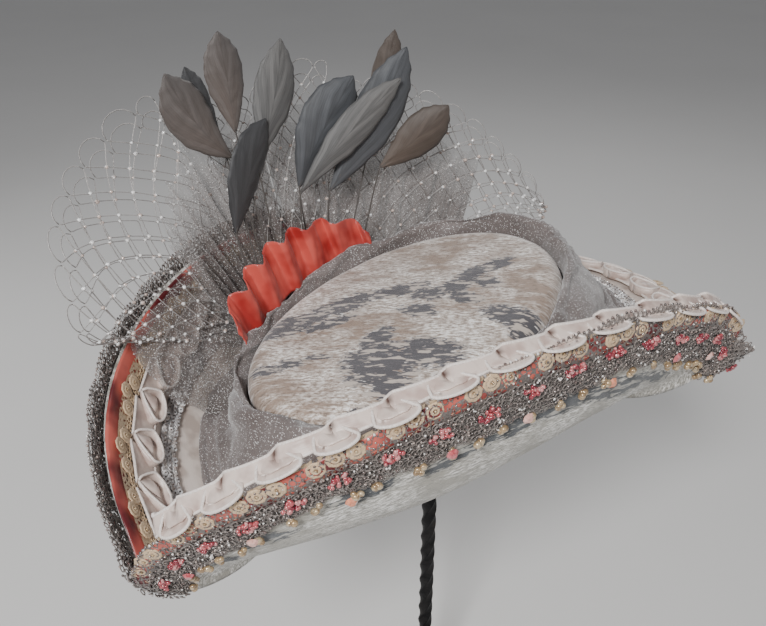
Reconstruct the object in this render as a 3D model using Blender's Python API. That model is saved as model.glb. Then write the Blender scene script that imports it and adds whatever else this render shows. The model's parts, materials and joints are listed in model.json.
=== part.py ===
# Bridal tricorne hat on a plain iron stand, in metres, +Z up.
# The origin is the centre of the stand's foot on the floor. The hat's front point looks to -Y, its left side to +X.
# The hat's pieces are modelled in the hat's own frame, which leans on the stand:
# x to the front point, y to the wearer's left, z up the crown, origin at the middle of the head opening.
import math

import bpy
from mathutils import Matrix, Vector

# Stand
FOOT_RADIUS = 0.075
FOOT_EDGE = 0.005
FOOT_CHAMFER = (0.004, 0.0015)
BOSS_RADIUS = 0.011
BOSS_TOP = 0.022
BOSS_SKIRT = (0.012, 0.003)
BOSS_NECK = (0.002, 0.008)
BAR_SIDE = 0.0078
BAR_QUARTER_TWIST = 0.014
BAR_SECTIONS_PER_QUARTER = 3
CAP_BALL_RADIUS = 0.035
CAP_RADIUS = 0.028
CAP_RIM = 0.004
GAP = 0.0003

# Hat frame: where the head opening lies over the foot, and how the hat leans
OPENING_CENTRE = Vector((-0.0085, -0.0075, 0.315))
FRONT_YAW_DEG = -90.0
LEAN_DEG = 11.3
LEAN_TOWARDS_DEG = -138.8

# Crown
CROWN_HALF_LENGTH = 0.1065
CROWN_HALF_WIDTH = 0.0782
CROWN_SHIFT = (-0.0085, 0.0)
CROWN_YAW_DEG = -3.8
CROWN_HEIGHT = 0.0588
CROWN_SHOULDER = 0.012
CROWN_FLARE = 0.0037
CROWN_WALL = 0.0025
CROWN_SIDES = 44

# Brim: a section is an arc whose slope runs from its root slope to its edge slope
BRIM_WIDTH = 0.1068  # with the lace past its edge
BRIM_START = 0.0016
BRIM_CLOTH = 0.0975
BRIM_WALL = 0.0026
BRIM_ROWS = 6
FLAP_STEPS = 20
POINT_ROOT_SLOPE = -34.3
POINT_EDGE_SLOPE = 62.3
FLAPS = (
    # name, first and last angle, root slope, edge slope and width half way along, sharpness at its points,
    # how far its ribbon and daisies sit nearer the edge, its ruffle raised (1) or not (0), crystals on its lace,
    # steps that its bands leave free at each point
    ("left", 0.0, 123.3, 33.6, 88.7, 0.1068, 0.53, 0.0058, 1.0, 8, 1),
    ("back", 123.3, 236.7, 8.0, -30.0, 0.0870, 0.40, 0.0, 0.0, 5, 2),
    ("right", 236.7, 360.0, 33.6, 88.7, 0.1068, 0.53, 0.0, 0.0, 5, 1),
)

# Trims along a flap: distances from the brim's root, and height over the brim's middle surface
LACE = {"low": 0.083, "high": 0.1068, "lift": -0.0039, "wall": 0.0014, "scallops": 10, "depth": 0.004}
CORAL = {"low": 0.0845, "high": 0.0968, "lift": 0.0028, "wall": 0.0010}
DAISY = {"low": 0.0775, "high": 0.0880, "lift": 0.0045, "wall": 0.0011, "depth": 0.0022}
RUFFLE = {
    "low": 0.0530, "high": 0.0750, "wall": 0.0012, "loops": 11,
    "raise": 0.0310, "stand": 0.0031, "tilt": 0.0060,  # of the left flap's, which stands past the edge
}
RUFFLE_FOLD = (
    # share of one loop, height over the brim's middle surface
    (0.00, 0.0028), (0.12, 0.0088), (0.42, 0.0100), (0.68, 0.0078), (0.84, 0.0027),
)
BRAID = {"low": 0.0455, "high": 0.0522, "lift": 0.0028, "wall": 0.0016}
CRYSTAL = {"radius": 0.0030, "table": 0.0016, "girdle": 0.0011, "crown": 0.0014, "place": 0.17}

# Tulle scarf wound round the crown
WRAP = (
    # angle in equal steps, how far it spreads over the brim, height of its crest
    (0.0, 0.041, 0.056), (60.0, 0.036, 0.052), (120.0, 0.040, 0.058),
    (180.0, 0.041, 0.064), (240.0, 0.040, 0.061), (300.0, 0.041, 0.055),
)
FOLD_STEPS = 4
WRAP_FOLD_DEPTH = 0.0020
WRAP_UNDER = 0.0036  # its underside over the brim's middle surface
WRAP_EDGE = 0.0085  # the same at its outer edge
WRAP_FULLNESS = 0.0195  # the same where it is fullest
WRAP_CREST = 0.0065  # its crest out from the crown's oval
WRAP_CLEAR = 0.0008  # its inner edge out from the crown's oval

# Pleated satin cockade on the crown's right side
COCKADE = {
    "first": -50.0, "last": -129.0, "pleats": 7, "depth": 0.0045, "foot_depth": 0.0016, "wall": 0.0013,
    "rise": 0.035, "end_share": 0.30, "seat": 0.0008, "foot_out": 0.0085, "top_out": 0.0115,
}

# Net fans behind the cockade: first and last root angle, seat across the scarf and height over it,
# columns and rows of diamonds, bulge, then the tips of the fan in the hat's frame
VEILS = (
    ("veil_front", -69.0, -92.0, 0.92, 0.0010, 5, 3, 0.006, (
        (0.126, -0.078, 0.099), (0.146, -0.068, 0.110), (0.144, -0.070, 0.134), (0.130, -0.088, 0.160),
        (0.104, -0.108, 0.173), (0.068, -0.125, 0.182), (0.026, -0.136, 0.188),
    )),
    ("veil_top", -94.0, -110.0, 0.45, 0.0010, 3, 5, 0.004, (
        (0.018, -0.118, 0.176), (-0.020, -0.115, 0.170), (-0.050, -0.108, 0.180), (-0.078, -0.098, 0.176),
    )),
    ("veil_back", -112.0, -172.0, 0.50, 0.0020, 5, 3, 0.010, (
        (-0.086, -0.092, 0.160), (-0.117, -0.069, 0.146), (-0.140, -0.044, 0.118), (-0.153, -0.022, 0.086),
        (-0.159, -0.004, 0.054),
    )),
)
NET_CORD = 0.0012

# Gathered tulle behind the net: first and last root angle, seat across the scarf and height over it, folds, its tips
TULLES = (
    ("tulle_fan_front", -70.0, -99.6, 0.74, 0.0014, 9, (
        (0.072, -0.088, 0.122), (0.061, -0.104, 0.132), (0.042, -0.117, 0.148), (0.013, -0.124, 0.161),
        (-0.0325, -0.1260, 0.163),
    )),
    ("tulle_fan_back", -101.0, -152.0, 0.80, 0.0025, 9, (
        (-0.0345, -0.1265, 0.163), (-0.080, -0.115, 0.155), (-0.117, -0.096, 0.138), (-0.145, -0.070, 0.110),
        (-0.155, -0.050, 0.084),
    )),
)
TULLE_WALL = 0.0014
TULLE_BULGE = 0.0035
TULLE_FOLD = 0.0035
TULLE_ROOT_FOLD = 0.3

# Goose feathers: root angle, where the vane starts, tip, widest half width, sideways bow
FEATHERS = (
    ("feather_1", -81.0, (0.007, -0.1040, 0.148), (0.034, -0.1030, 0.208), 0.0140, 0.006),
    ("feather_2", -77.5, (0.008, -0.1085, 0.152), (0.017, -0.1085, 0.206), 0.0100, 0.002),
    ("feather_3", -84.5, (-0.002, -0.1060, 0.160), (-0.009, -0.1050, 0.218), 0.0125, 0.000),
    ("feather_4", -88.0, (-0.008, -0.1010, 0.140), (-0.045, -0.0960, 0.203), 0.0130, -0.004),
    ("feather_5", -74.0, (0.024, -0.0985, 0.106), (-0.019, -0.0960, 0.163), 0.0155, 0.004),
    ("feather_6", -103.0, (-0.032, -0.0985, 0.112), (-0.080, -0.0780, 0.169), 0.0170, 0.004),
    ("feather_7", -99.0, (-0.028, -0.0940, 0.110), (-0.099, -0.0560, 0.162), 0.0105, 0.003),
    ("feather_8", -108.0, (-0.049, -0.0900, 0.103), (-0.110, -0.0570, 0.178), 0.0145, -0.004),
    ("feather_9", -113.0, (-0.088, -0.0830, 0.125), (-0.112, -0.0660, 0.188), 0.0085, 0.000),
    ("feather_10", -118.0, (-0.084, -0.0760, 0.106), (-0.124, -0.0430, 0.136), 0.0125, -0.002),
)
FEATHER_SEAT = 0.25
FEATHER_LIFT = 0.0006
VANE_PROFILE = (
    # share of the vane's length, share of its half width
    (0.00, 0.12), (0.18, 0.62), (0.42, 1.00), (0.68, 0.92), (0.88, 0.52), (1.00, 0.10),
)
QUILL_RADIUS = 0.0007
VANE_WALL = 0.0005

COLOURS = {
    # base colour, roughness, metallic
    "iron": ((0.02, 0.02, 0.022), 0.45, 0.9),
    "velvet": ((0.80, 0.74, 0.66), 0.75, 0.0),
    "tulle": ((0.42, 0.37, 0.35), 0.55, 0.0),
    "silver_lace": ((0.52, 0.48, 0.46), 0.40, 0.3),
    "coral_satin": ((0.80, 0.26, 0.20), 0.35, 0.0),
    "ivory_satin": ((0.86, 0.78, 0.72), 0.35, 0.0),
    "gold_lace": ((0.78, 0.66, 0.48), 0.50, 0.1),
    "silver_braid": ((0.62, 0.60, 0.59), 0.40, 0.4),
    "net": ((0.66, 0.63, 0.61), 0.50, 0.2),
    "feather": ((0.36, 0.35, 0.36), 0.60, 0.0),
    "crystal": ((0.85, 0.40, 0.34), 0.10, 0.0),
}


def finish(name):
    material = bpy.data.materials.get(name)
    if material is None:
        material = bpy.data.materials.new(name)
        material.use_nodes = True
        colour, roughness, metallic = COLOURS[name]
        shader = material.node_tree.nodes["Principled BSDF"]
        shader.inputs["Base Color"].default_value = (*colour, 1.0)
        shader.inputs["Roughness"].default_value = roughness
        shader.inputs["Metallic"].default_value = metallic
    return material


def piece(name, points, faces, finish_name, parent=None, outward=True):
    """One named object from points and faces, turned so that a closed shape faces out."""
    mesh = bpy.data.meshes.new(name)
    mesh.from_pydata([tuple(point) for point in points], [], faces)
    mesh.validate()
    made = bpy.data.objects.new(name, mesh)
    bpy.context.scene.collection.objects.link(made)
    mesh.materials.append(finish(finish_name))
    if outward and volume_of(mesh) < 0:
        mesh.flip_normals()
    mesh.shade_smooth()
    mesh.set_sharp_from_angle(angle=math.radians(40))
    made.parent = parent
    return made


def volume_of(mesh):
    mesh.calc_loop_triangles()
    total = 0.0
    for triangle in mesh.loop_triangles:
        a, b, c = (mesh.vertices[i].co for i in triangle.vertices)
        total += a.dot(b.cross(c))
    return total


def loft(name, rings, looped, finish_name, parent=None):
    """A closed solid through rings of equal length; looped joins the last ring to the first."""
    count = len(rings[0])
    points = [point for ring in rings for point in ring]
    faces = []
    last = len(rings) if looped else len(rings) - 1
    for i in range(last):
        start, after = i * count, ((i + 1) % len(rings)) * count
        for j in range(count):
            k = (j + 1) % count
            faces.append((start + j, start + k, after + k, after + j))
    if not looped:
        faces.append(tuple(reversed(range(count))))
        faces.append(tuple(range((len(rings) - 1) * count, len(rings) * count)))
    return piece(name, points, faces, finish_name, parent)


def ribbon(name, inner, outer, wall, finish_name, parent):
    """A band of cloth between two edge lines, with its wall laid evenly on both sides."""
    rings = []
    last = len(inner) - 1
    for i, (low, high) in enumerate(zip(inner, outer)):
        before, after = max(i - 1, 0), min(i + 1, last)
        along = (inner[after] + outer[after]) - (inner[before] + outer[before])
        normal = along.cross(high - low).normalized() * (wall / 2)
        rings.append((low + normal, high + normal, high - normal, low - normal))
    return loft(name, rings, False, finish_name, parent)


def blend(low, high, share):
    return low + (high - low) * share


def row_value(rows, angle, column):
    """Reads a table whose rows go once round the hat, smoothly between its rows."""
    count = len(rows)
    place = (angle % 360.0) / (360.0 / count)
    first = int(place) % count
    share = place - int(place)
    share = share * share * (3.0 - 2.0 * share)
    return blend(rows[first][column], rows[(first + 1) % count][column], share)


def crown_radius(angle, grow=0.0):
    """Distance from the hat's axis to the crown's oval, whose centre is a little off that axis."""
    yaw = math.radians(CROWN_YAW_DEG)
    long, wide = CROWN_HALF_LENGTH + grow, CROWN_HALF_WIDTH + grow
    cosine, sine = math.cos(math.radians(angle) - yaw), math.sin(math.radians(angle) - yaw)
    shift = Matrix.Rotation(-yaw, 2) @ Vector(CROWN_SHIFT)
    square = (cosine / long) ** 2 + (sine / wide) ** 2
    middle = -2.0 * (cosine * shift.x / long**2 + sine * shift.y / wide**2)
    rest = (shift.x / long) ** 2 + (shift.y / wide) ** 2 - 1.0
    return (-middle + math.sqrt(middle**2 - 4.0 * square * rest)) / (2.0 * square)


def polar(angle, radius, height):
    return Vector((radius * math.cos(math.radians(angle)), radius * math.sin(math.radians(angle)), height))


def flap_at(angle):
    angle %= 360.0
    for flap in FLAPS:
        if angle <= flap[2]:
            return flap
    return FLAPS[-1]


def brim_point(angle, reach, lift=0.0):
    """A point of the brim: reach along its section from the crown, lift towards its inner face."""
    first, last, root_slope, edge_slope, middle_width, sharpness = flap_at(angle)[1:7]
    share = (angle % 360.0 - first) / (last - first)
    fold = max(math.sin(math.pi * share), 0.0) ** sharpness
    root = math.radians(blend(POINT_ROOT_SLOPE, root_slope, fold))
    edge = math.radians(blend(POINT_EDGE_SLOPE, edge_slope, fold))
    width = blend(BRIM_WIDTH, middle_width, fold)
    bend = (edge - root) / width
    slope = root + bend * reach * width / BRIM_WIDTH
    radius = crown_radius(angle, CROWN_FLARE) + (math.sin(slope) - math.sin(root)) / bend
    height = (math.cos(root) - math.cos(slope)) / bend
    return polar(angle, radius - math.sin(slope) * lift, height + math.cos(slope) * lift)


def on_flap(angle, reach, lift):
    """As brim_point, but lifted square to the brim's surface, so that cloth laid on it keeps its thickness."""
    turn, step = 0.3, 0.0005
    around = brim_point(angle + turn, reach) - brim_point(angle - turn, reach)
    along = brim_point(angle, reach + step) - brim_point(angle, reach - step)
    return brim_point(angle, reach) + along.cross(around).normalized() * lift


def flap_angles(flap, steps, reach=BRIM_WIDTH, start=0.0, stop=1.0):
    """Angles along a flap that part the line at this reach into equal lengths."""
    _, first, last = flap[:3]
    fine = 400
    angles = [blend(first, last, 0.5 - 0.5 * math.cos(math.pi * i / fine)) for i in range(fine + 1)]
    angles[-1] = min(angles[-1], 359.9999)
    lengths = [0.0]
    for one, two in zip(angles, angles[1:]):
        lengths.append(lengths[-1] + (brim_point(two, reach) - brim_point(one, reach)).length)
    found, i = [], 0
    for step in range(steps + 1):
        wanted = lengths[-1] * blend(start, stop, step / steps)
        while i < fine - 1 and lengths[i + 1] < wanted:
            i += 1
        share = (wanted - lengths[i]) / (lengths[i + 1] - lengths[i])
        found.append(blend(angles[i], angles[i + 1], min(max(share, 0.0), 1.0)))
    return found


def smooth_line(points, share):
    """A point at this share of a smooth line through the given points."""
    points = [Vector(point) for point in points]
    place = share * (len(points) - 1)
    i = min(int(place), len(points) - 2)
    t = place - i
    p0, p1, p2, p3 = (points[max(min(j, len(points) - 1), 0)] for j in (i - 1, i, i + 1, i + 2))
    return 0.5 * (2 * p1 + (p2 - p0) * t + (2 * p0 - 5 * p1 + 4 * p2 - p3) * t**2 + (3 * p1 - p0 - 3 * p2 + p3) * t**3)


def turned(name, profile, sides, finish_name, height=0.0):
    """A solid of revolution about the stand's axis, whose profile starts and ends on the axis."""
    points = [(0.0, 0.0, profile[0][1] + height)]
    for radius, level in profile[1:-1]:
        for i in range(sides):
            turn = 2.0 * math.pi * i / sides
            points.append((radius * math.cos(turn), radius * math.sin(turn), level + height))
    points.append((0.0, 0.0, profile[-1][1] + height))
    rings, faces = len(profile) - 2, []
    for i in range(sides):
        j = (i + 1) % sides
        faces.append((0, 1 + j, 1 + i))
        for ring in range(rings - 1):
            low, high = 1 + ring * sides, 1 + (ring + 1) * sides
            faces.append((low + i, low + j, high + j, high + i))
        top = 1 + (rings - 1) * sides
        faces.append((top + i, top + j, len(points) - 1))
    return piece(name, points, faces, finish_name)


def make_hat_frame():
    frame = bpy.data.objects.new("hat_frame", None)
    bpy.context.scene.collection.objects.link(frame)
    towards = math.radians(LEAN_TOWARDS_DEG)
    axis = Vector((-math.sin(towards), math.cos(towards), 0.0))
    turn = Matrix.Rotation(math.radians(LEAN_DEG), 4, axis) @ Matrix.Rotation(math.radians(FRONT_YAW_DEG), 4, "Z")
    frame.matrix_world = Matrix.Translation(OPENING_CENTRE) @ turn
    return frame


def make_stand(frame):
    foot = [(0.0, 0.0), (FOOT_RADIUS, 0.0), (FOOT_RADIUS, FOOT_EDGE - FOOT_CHAMFER[1])]
    foot.append((FOOT_RADIUS - FOOT_CHAMFER[0], FOOT_EDGE))
    foot.append((BOSS_RADIUS + BOSS_SKIRT[0], FOOT_EDGE + BOSS_SKIRT[1]))
    foot += [(BOSS_RADIUS, BOSS_TOP - BOSS_NECK[1]), (BOSS_RADIUS - BOSS_NECK[0], BOSS_TOP), (0.0, BOSS_TOP)]
    turned("stand_foot", foot, 32, "iron")

    up = frame.matrix_world.to_3x3() @ Vector((0.0, 0.0, 1.0))
    under_crown = CROWN_HEIGHT - CROWN_WALL - GAP - CAP_BALL_RADIUS
    aside = OPENING_CENTRE.x * up.x + OPENING_CENTRE.y * up.y
    ball_height = OPENING_CENTRE.z + (under_crown + aside) / up.z
    rim = ball_height + math.sqrt(CAP_BALL_RADIUS**2 - CAP_RADIUS**2)
    cap = [(0.0, rim - CAP_RIM), (CAP_RADIUS - 0.003, rim - CAP_RIM), (CAP_RADIUS, rim)]
    rim_angle = math.asin(CAP_RADIUS / CAP_BALL_RADIUS)
    for share in (0.75, 0.5, 0.25):
        turn = rim_angle * share
        cap.append((CAP_BALL_RADIUS * math.sin(turn), ball_height + CAP_BALL_RADIUS * math.cos(turn)))
    cap.append((0.0, ball_height + CAP_BALL_RADIUS))
    turned("stand_cap", cap, 24, "iron")

    bottom, top = BOSS_TOP + GAP, rim - CAP_RIM - GAP
    sections = round((top - bottom) / BAR_QUARTER_TWIST * BAR_SECTIONS_PER_QUARTER)
    rings = []
    for i in range(sections + 1):
        height = blend(bottom, top, i / sections)
        twist = (height - bottom) / BAR_QUARTER_TWIST * math.pi / 2.0
        corners = [math.degrees(twist) + 90.0 * corner for corner in range(4)]
        rings.append([polar(corner, BAR_SIDE * math.sqrt(0.5), height) for corner in corners])
    loft("stand_stem", rings, False, "iron")


def make_crown(frame):
    """A felt-like shell, open below: outer wall, rounded shoulder, flat tip, and the same inside."""
    angles = [360.0 * i / CROWN_SIDES for i in range(CROWN_SIDES)]
    side_top = CROWN_HEIGHT - CROWN_SHOULDER
    outer = [(CROWN_FLARE, 0.0), (0.0, side_top)]
    inner = [(CROWN_FLARE - CROWN_WALL, 0.0), (-CROWN_WALL, side_top)]
    inner_shoulder = CROWN_SHOULDER - CROWN_WALL
    for step in (1, 2, 3):
        turn = math.radians(30.0 * step)
        outer.append((CROWN_SHOULDER * (math.cos(turn) - 1.0), side_top + CROWN_SHOULDER * math.sin(turn)))
        inset = inner_shoulder * (math.cos(turn) - 1.0) - CROWN_WALL
        inner.append((inset, side_top + inner_shoulder * math.sin(turn)))
    points, faces, tips = [], [], []
    for rows in (outer, inner):
        for grow, height in rows:
            points += [polar(angle, crown_radius(angle, grow), height) for angle in angles]
        tips.append(len(points))
        points.append(Vector((*CROWN_SHIFT, rows[-1][1])))
    count, rows = CROWN_SIDES, len(outer)
    second = rows * count + 1
    for i in range(count):
        j = (i + 1) % count
        for row in range(rows - 1):
            low, high = row * count, (row + 1) * count
            faces.append((low + i, low + j, high + j, high + i))
            faces.append((second + low + j, second + low + i, second + high + i, second + high + j))
        top = (rows - 1) * count
        faces.append((top + i, top + j, tips[0]))
        faces.append((second + top + j, second + top + i, tips[1]))
        faces.append((i, second + i, second + j, j))
    piece("crown", points, faces, "velvet", frame)


def make_brim(frame):
    """One folded wall all round, turned up in flaps between the points."""
    reaches = [blend(BRIM_START, BRIM_CLOTH, i / BRIM_ROWS) for i in range(BRIM_ROWS + 1)]
    rings = []
    for flap in FLAPS:
        for angle in flap_angles(flap, FLAP_STEPS)[:-1]:
            ring = [on_flap(angle, reach, -BRIM_WALL / 2) for reach in reaches]
            ring += [on_flap(angle, reach, BRIM_WALL / 2) for reach in reversed(reaches)]
            rings.append(ring)
    loft("brim", rings, True, "velvet", frame)


def wrap_rings():
    """Cross-sections of the scarf wound round the crown, each with its angle; its folds slant from ring to ring."""
    side_top = CROWN_HEIGHT - CROWN_SHOULDER
    rings = []
    for flap in FLAPS:
        for angle in flap_angles(flap, FLAP_STEPS)[:-1]:
            spread, crest = row_value(WRAP, angle, 1), row_value(WRAP, angle, 2)
            turn = math.pi * 2.0 * len(rings) / FOLD_STEPS
            folds = [WRAP_FOLD_DEPTH * math.sin(turn + slant) for slant in (0.0, 1.3, 2.6)]
            ring = [on_flap(angle, spread * share, WRAP_UNDER) for share in (0.1, 0.5, 0.92)]
            ring.append(brim_point(angle, spread, WRAP_EDGE + folds[0]))
            ring.append(brim_point(angle, spread * 0.72, WRAP_FULLNESS + folds[1]))
            ring.append(polar(angle, crown_radius(angle, WRAP_CREST + folds[2]), crest))
            ring.append(polar(angle, crown_radius(angle, WRAP_CLEAR), side_top))
            rings.append((angle, ring))
    return rings


def on_wrap(angle, share, lift):
    """A point over the scarf's upper side, from its shoulder (share 0) to its outer edge (share 1)."""
    angle %= 360.0
    rings = wrap_rings()
    rings.append((360.0, rings[0][1]))
    i = max(index for index, row in enumerate(rings[:-1]) if row[0] <= angle)
    (before, low), (after, high) = rings[i], rings[i + 1]
    between = (angle - before) / (after - before)
    shoulder, edge = low[4].lerp(high[4], between), low[3].lerp(high[3], between)
    return shoulder.lerp(edge, share) + Vector((0.0, 0.0, lift))


def make_wrap(frame):
    """A tulle scarf wound round the crown, which fills the groove between crown and brim."""
    loft("crown_wrap", [ring for _, ring in wrap_rings()], True, "tulle", frame)


def band(name, trim, flap, finish_name, frame, wave=0.0):
    """A flat band along a flap; wave makes its two edges scalloped."""
    shift = 0.0 if trim is BRAID else flap[7]
    free = flap[10]
    low, high = [], []
    for i, angle in enumerate(flap_angles(flap, FLAP_STEPS)[free:-free]):
        edge = wave * (0.5 if i % 2 else -0.5)
        low.append(on_flap(angle, trim["low"] + shift - edge, trim["lift"]))
        high.append(on_flap(angle, trim["high"] + shift + edge, trim["lift"]))
    ribbon(name, low, high, trim["wall"], finish_name, frame)


def make_lace(flap, frame):
    """Beaded lace over the outer face and past the brim's edge, scalloped along its lower border, with its stones."""
    name, count, free = flap[0], flap[9], 2 * flap[10] - 1
    angles = flap_angles(flap, 2 * FLAP_STEPS)[free:-free]
    low, high = [], []
    for i, angle in enumerate(angles):
        scallop = LACE["depth"] * abs(math.sin(math.pi * LACE["scallops"] * (i + 1) / (len(angles) + 1)))
        low.append(on_flap(angle, LACE["low"] - scallop, LACE["lift"]))
        high.append(on_flap(angle, LACE["high"], LACE["lift"]))
    ribbon(f"lace_{name}", low, high, LACE["wall"], "silver_lace", frame)
    for stone in range(count):
        i = round((stone + 0.5) / count * (len(angles) - 1))
        out = (low[i + 1] - low[i - 1]).cross(high[i] - low[i]).normalized()
        seat = low[i].lerp(high[i], CRYSTAL["place"]) + out * (LACE["wall"] / 2 + GAP)
        make_crystal(f"crystal_{name}_{stone + 1}", seat, out, frame)


def make_ruffle(flap, frame):
    """Box-pleated satin ribbon: each loop rises off the flap and folds back on to it."""
    steps = RUFFLE["loops"] * 100
    angles = flap_angles(flap, steps, RUFFLE["high"], 0.035, 0.965)
    shift, stand, tilt = (RUFFLE[key] * flap[8] for key in ("raise", "stand", "tilt"))
    low, high = [], []
    for loop in range(RUFFLE["loops"]):
        for share, lift in RUFFLE_FOLD:
            angle = angles[round((loop + share) * 100)]
            low.append(on_flap(angle, RUFFLE["low"] + shift, lift + stand))
            high.append(on_flap(angle, RUFFLE["high"] + shift, lift + stand + tilt))
    ribbon(f"ruffle_{flap[0]}", low, high, RUFFLE["wall"], "ivory_satin", frame)


def make_crystal(name, seat, out, frame):
    """A cut stone on the lace: table, eight crown facets and eight pavilion facets."""
    across = out.orthogonal().normalized()
    other = out.cross(across)
    girdle, top = CRYSTAL["girdle"], CRYSTAL["girdle"] + CRYSTAL["crown"]
    points = [seat]
    for radius, height in ((CRYSTAL["radius"], girdle), (CRYSTAL["table"], top)):
        for i in range(8):
            turn = math.pi * i / 4.0
            points.append(seat + out * height + (across * math.cos(turn) + other * math.sin(turn)) * radius)
    faces = [tuple(range(9, 17))]
    for i in range(8):
        j = (i + 1) % 8
        faces.append((0, 1 + j, 1 + i))
        faces.append((1 + i, 1 + j, 9 + j, 9 + i))
    piece(name, points, faces, "crystal", frame)


def make_cockade(frame):
    """A pleated fan of satin ribbon that stands along the crown's right shoulder."""
    steps = COCKADE["pleats"] * 5
    low, high = [], []
    for i in range(steps + 1):
        share = i / steps
        angle = blend(COCKADE["first"], COCKADE["last"], share)
        wave = math.sin(2.0 * math.pi * COCKADE["pleats"] * share)
        rise = COCKADE["rise"] * blend(COCKADE["end_share"], 1.0, math.sin(math.pi * share) ** 0.6)
        foot = row_value(WRAP, angle, 2) + COCKADE["seat"]
        foot_radius = crown_radius(angle, COCKADE["foot_out"] + COCKADE["foot_depth"] * wave)
        top_radius = crown_radius(angle, COCKADE["top_out"] + COCKADE["depth"] * wave)
        low.append(polar(angle, foot_radius, foot))
        high.append(polar(angle, top_radius, foot + rise))
    ribbon("cockade", low, high, COCKADE["wall"], "coral_satin", frame)


def fan_point(fan, share, height, bulge):
    """A point of a fan: share goes along it, height from its root on the scarf to its tips."""
    angle = blend(fan[1], fan[2], share)
    root = on_wrap(angle, fan[3], fan[4])
    tip = smooth_line(fan[-1], share)
    return root.lerp(tip, height) + polar(angle, bulge * math.sin(math.pi * height), 0.0)


def make_veil(veil, frame):
    """Coarse diamond net, cut through: a sheet of diamonds whose edges become cords."""
    name, columns, rows, bulge = veil[0], veil[5], veil[6], veil[7]
    across, up = 2 * columns, 2 * rows
    index, points, faces = {}, [], []
    for i in range(across + 1):
        for j in range(up + 1):
            if (i + j) % 2:
                index[i, j] = len(points)
                points.append(fan_point(veil, i / across, j / up, bulge))
    for i in range(1, across):
        for j in range(1, up):
            if (i + j) % 2 == 0:
                faces.append((index[i, j - 1], index[i + 1, j], index[i, j + 1], index[i - 1, j]))
    net = piece(name, points, faces, "net", frame, outward=False)
    cords = net.modifiers.new("cords", "WIREFRAME")
    cords.thickness = NET_CORD
    cords.use_even_offset = False
    cords.use_boundary = True
    cords.use_replace = True


def make_tulle(tulle, frame):
    """A gathered fan of soft tulle behind the net, in folds that open towards its tips."""
    name, folds = tulle[0], tulle[5]
    columns, rows = folds * 4, 2
    points, faces = [], []
    for i in range(columns + 1):
        share = i / columns
        out = polar(blend(tulle[1], tulle[2], share), 1.0, 0.0)
        for j in range(rows + 1):
            wave = TULLE_FOLD * blend(TULLE_ROOT_FOLD, 1.0, j / rows) * math.sin(2.0 * math.pi * folds * share)
            points.append(fan_point(tulle, share, j / rows, TULLE_BULGE) + out * wave)
    for i in range(columns):
        for j in range(rows):
            a = i * (rows + 1) + j
            b = a + rows + 1
            faces.append((a, b, b + 1, a + 1))
    sheet = piece(name, points, faces, "tulle", frame, outward=False)
    wall = sheet.modifiers.new("wall", "SOLIDIFY")
    wall.thickness = TULLE_WALL
    wall.offset = 0.0


def make_feather(row, frame):
    """A goose feather: a round quill, then a flat vane that widens and comes to a point."""
    name, root_angle, start, tip, half, bow = row
    root, start, tip = on_wrap(root_angle, FEATHER_SEAT, FEATHER_LIFT), Vector(start), Vector(tip)
    line = [root, start, start.lerp(tip, 0.5), tip]
    side = (tip - start).cross(polar(math.degrees(math.atan2(start.y, start.x)), 1.0, 0.0)).normalized()
    line[2] = line[2] + side * bow
    rings = []
    stations = [(0.0, 0.0), (0.30, 0.0)]
    stations += [(blend(1.0 / 3.0, 1.0, share), width) for share, width in VANE_PROFILE]
    for place, width in stations:
        middle = smooth_line(line, place)
        along = (smooth_line(line, min(place + 0.01, 1.0)) - smooth_line(line, max(place - 0.01, 0.0))).normalized()
        across = (side - along * side.dot(along)).normalized()
        face = along.cross(across)
        reach = max(half * width, QUILL_RADIUS)
        thick = QUILL_RADIUS if width < 0.1 else VANE_WALL
        rings.append((middle + across * reach, middle + face * thick, middle - across * reach, middle - face * thick))
    loft(name, rings, False, "feather", frame)


def main():
    for old in list(bpy.data.objects):
        bpy.data.objects.remove(old, do_unlink=True)
    frame = make_hat_frame()
    bpy.context.view_layer.update()
    make_stand(frame)
    make_crown(frame)
    make_brim(frame)
    make_wrap(frame)
    for flap in FLAPS:
        name = flap[0]
        make_lace(flap, frame)
        band(f"coral_ribbon_{name}", CORAL, flap, "coral_satin", frame)
        band(f"daisy_trim_{name}", DAISY, flap, "gold_lace", frame, DAISY["depth"])
        make_ruffle(flap, frame)
        band(f"silver_braid_{name}", BRAID, flap, "silver_braid", frame)
    make_cockade(frame)
    for veil in VEILS:
        make_veil(veil, frame)
    for tulle in TULLES:
        make_tulle(tulle, frame)
    for row in FEATHERS:
        make_feather(row, frame)


main()
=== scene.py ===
import json
import math
import random

import bpy
import numpy
from mathutils import Matrix, Vector, noise

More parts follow.
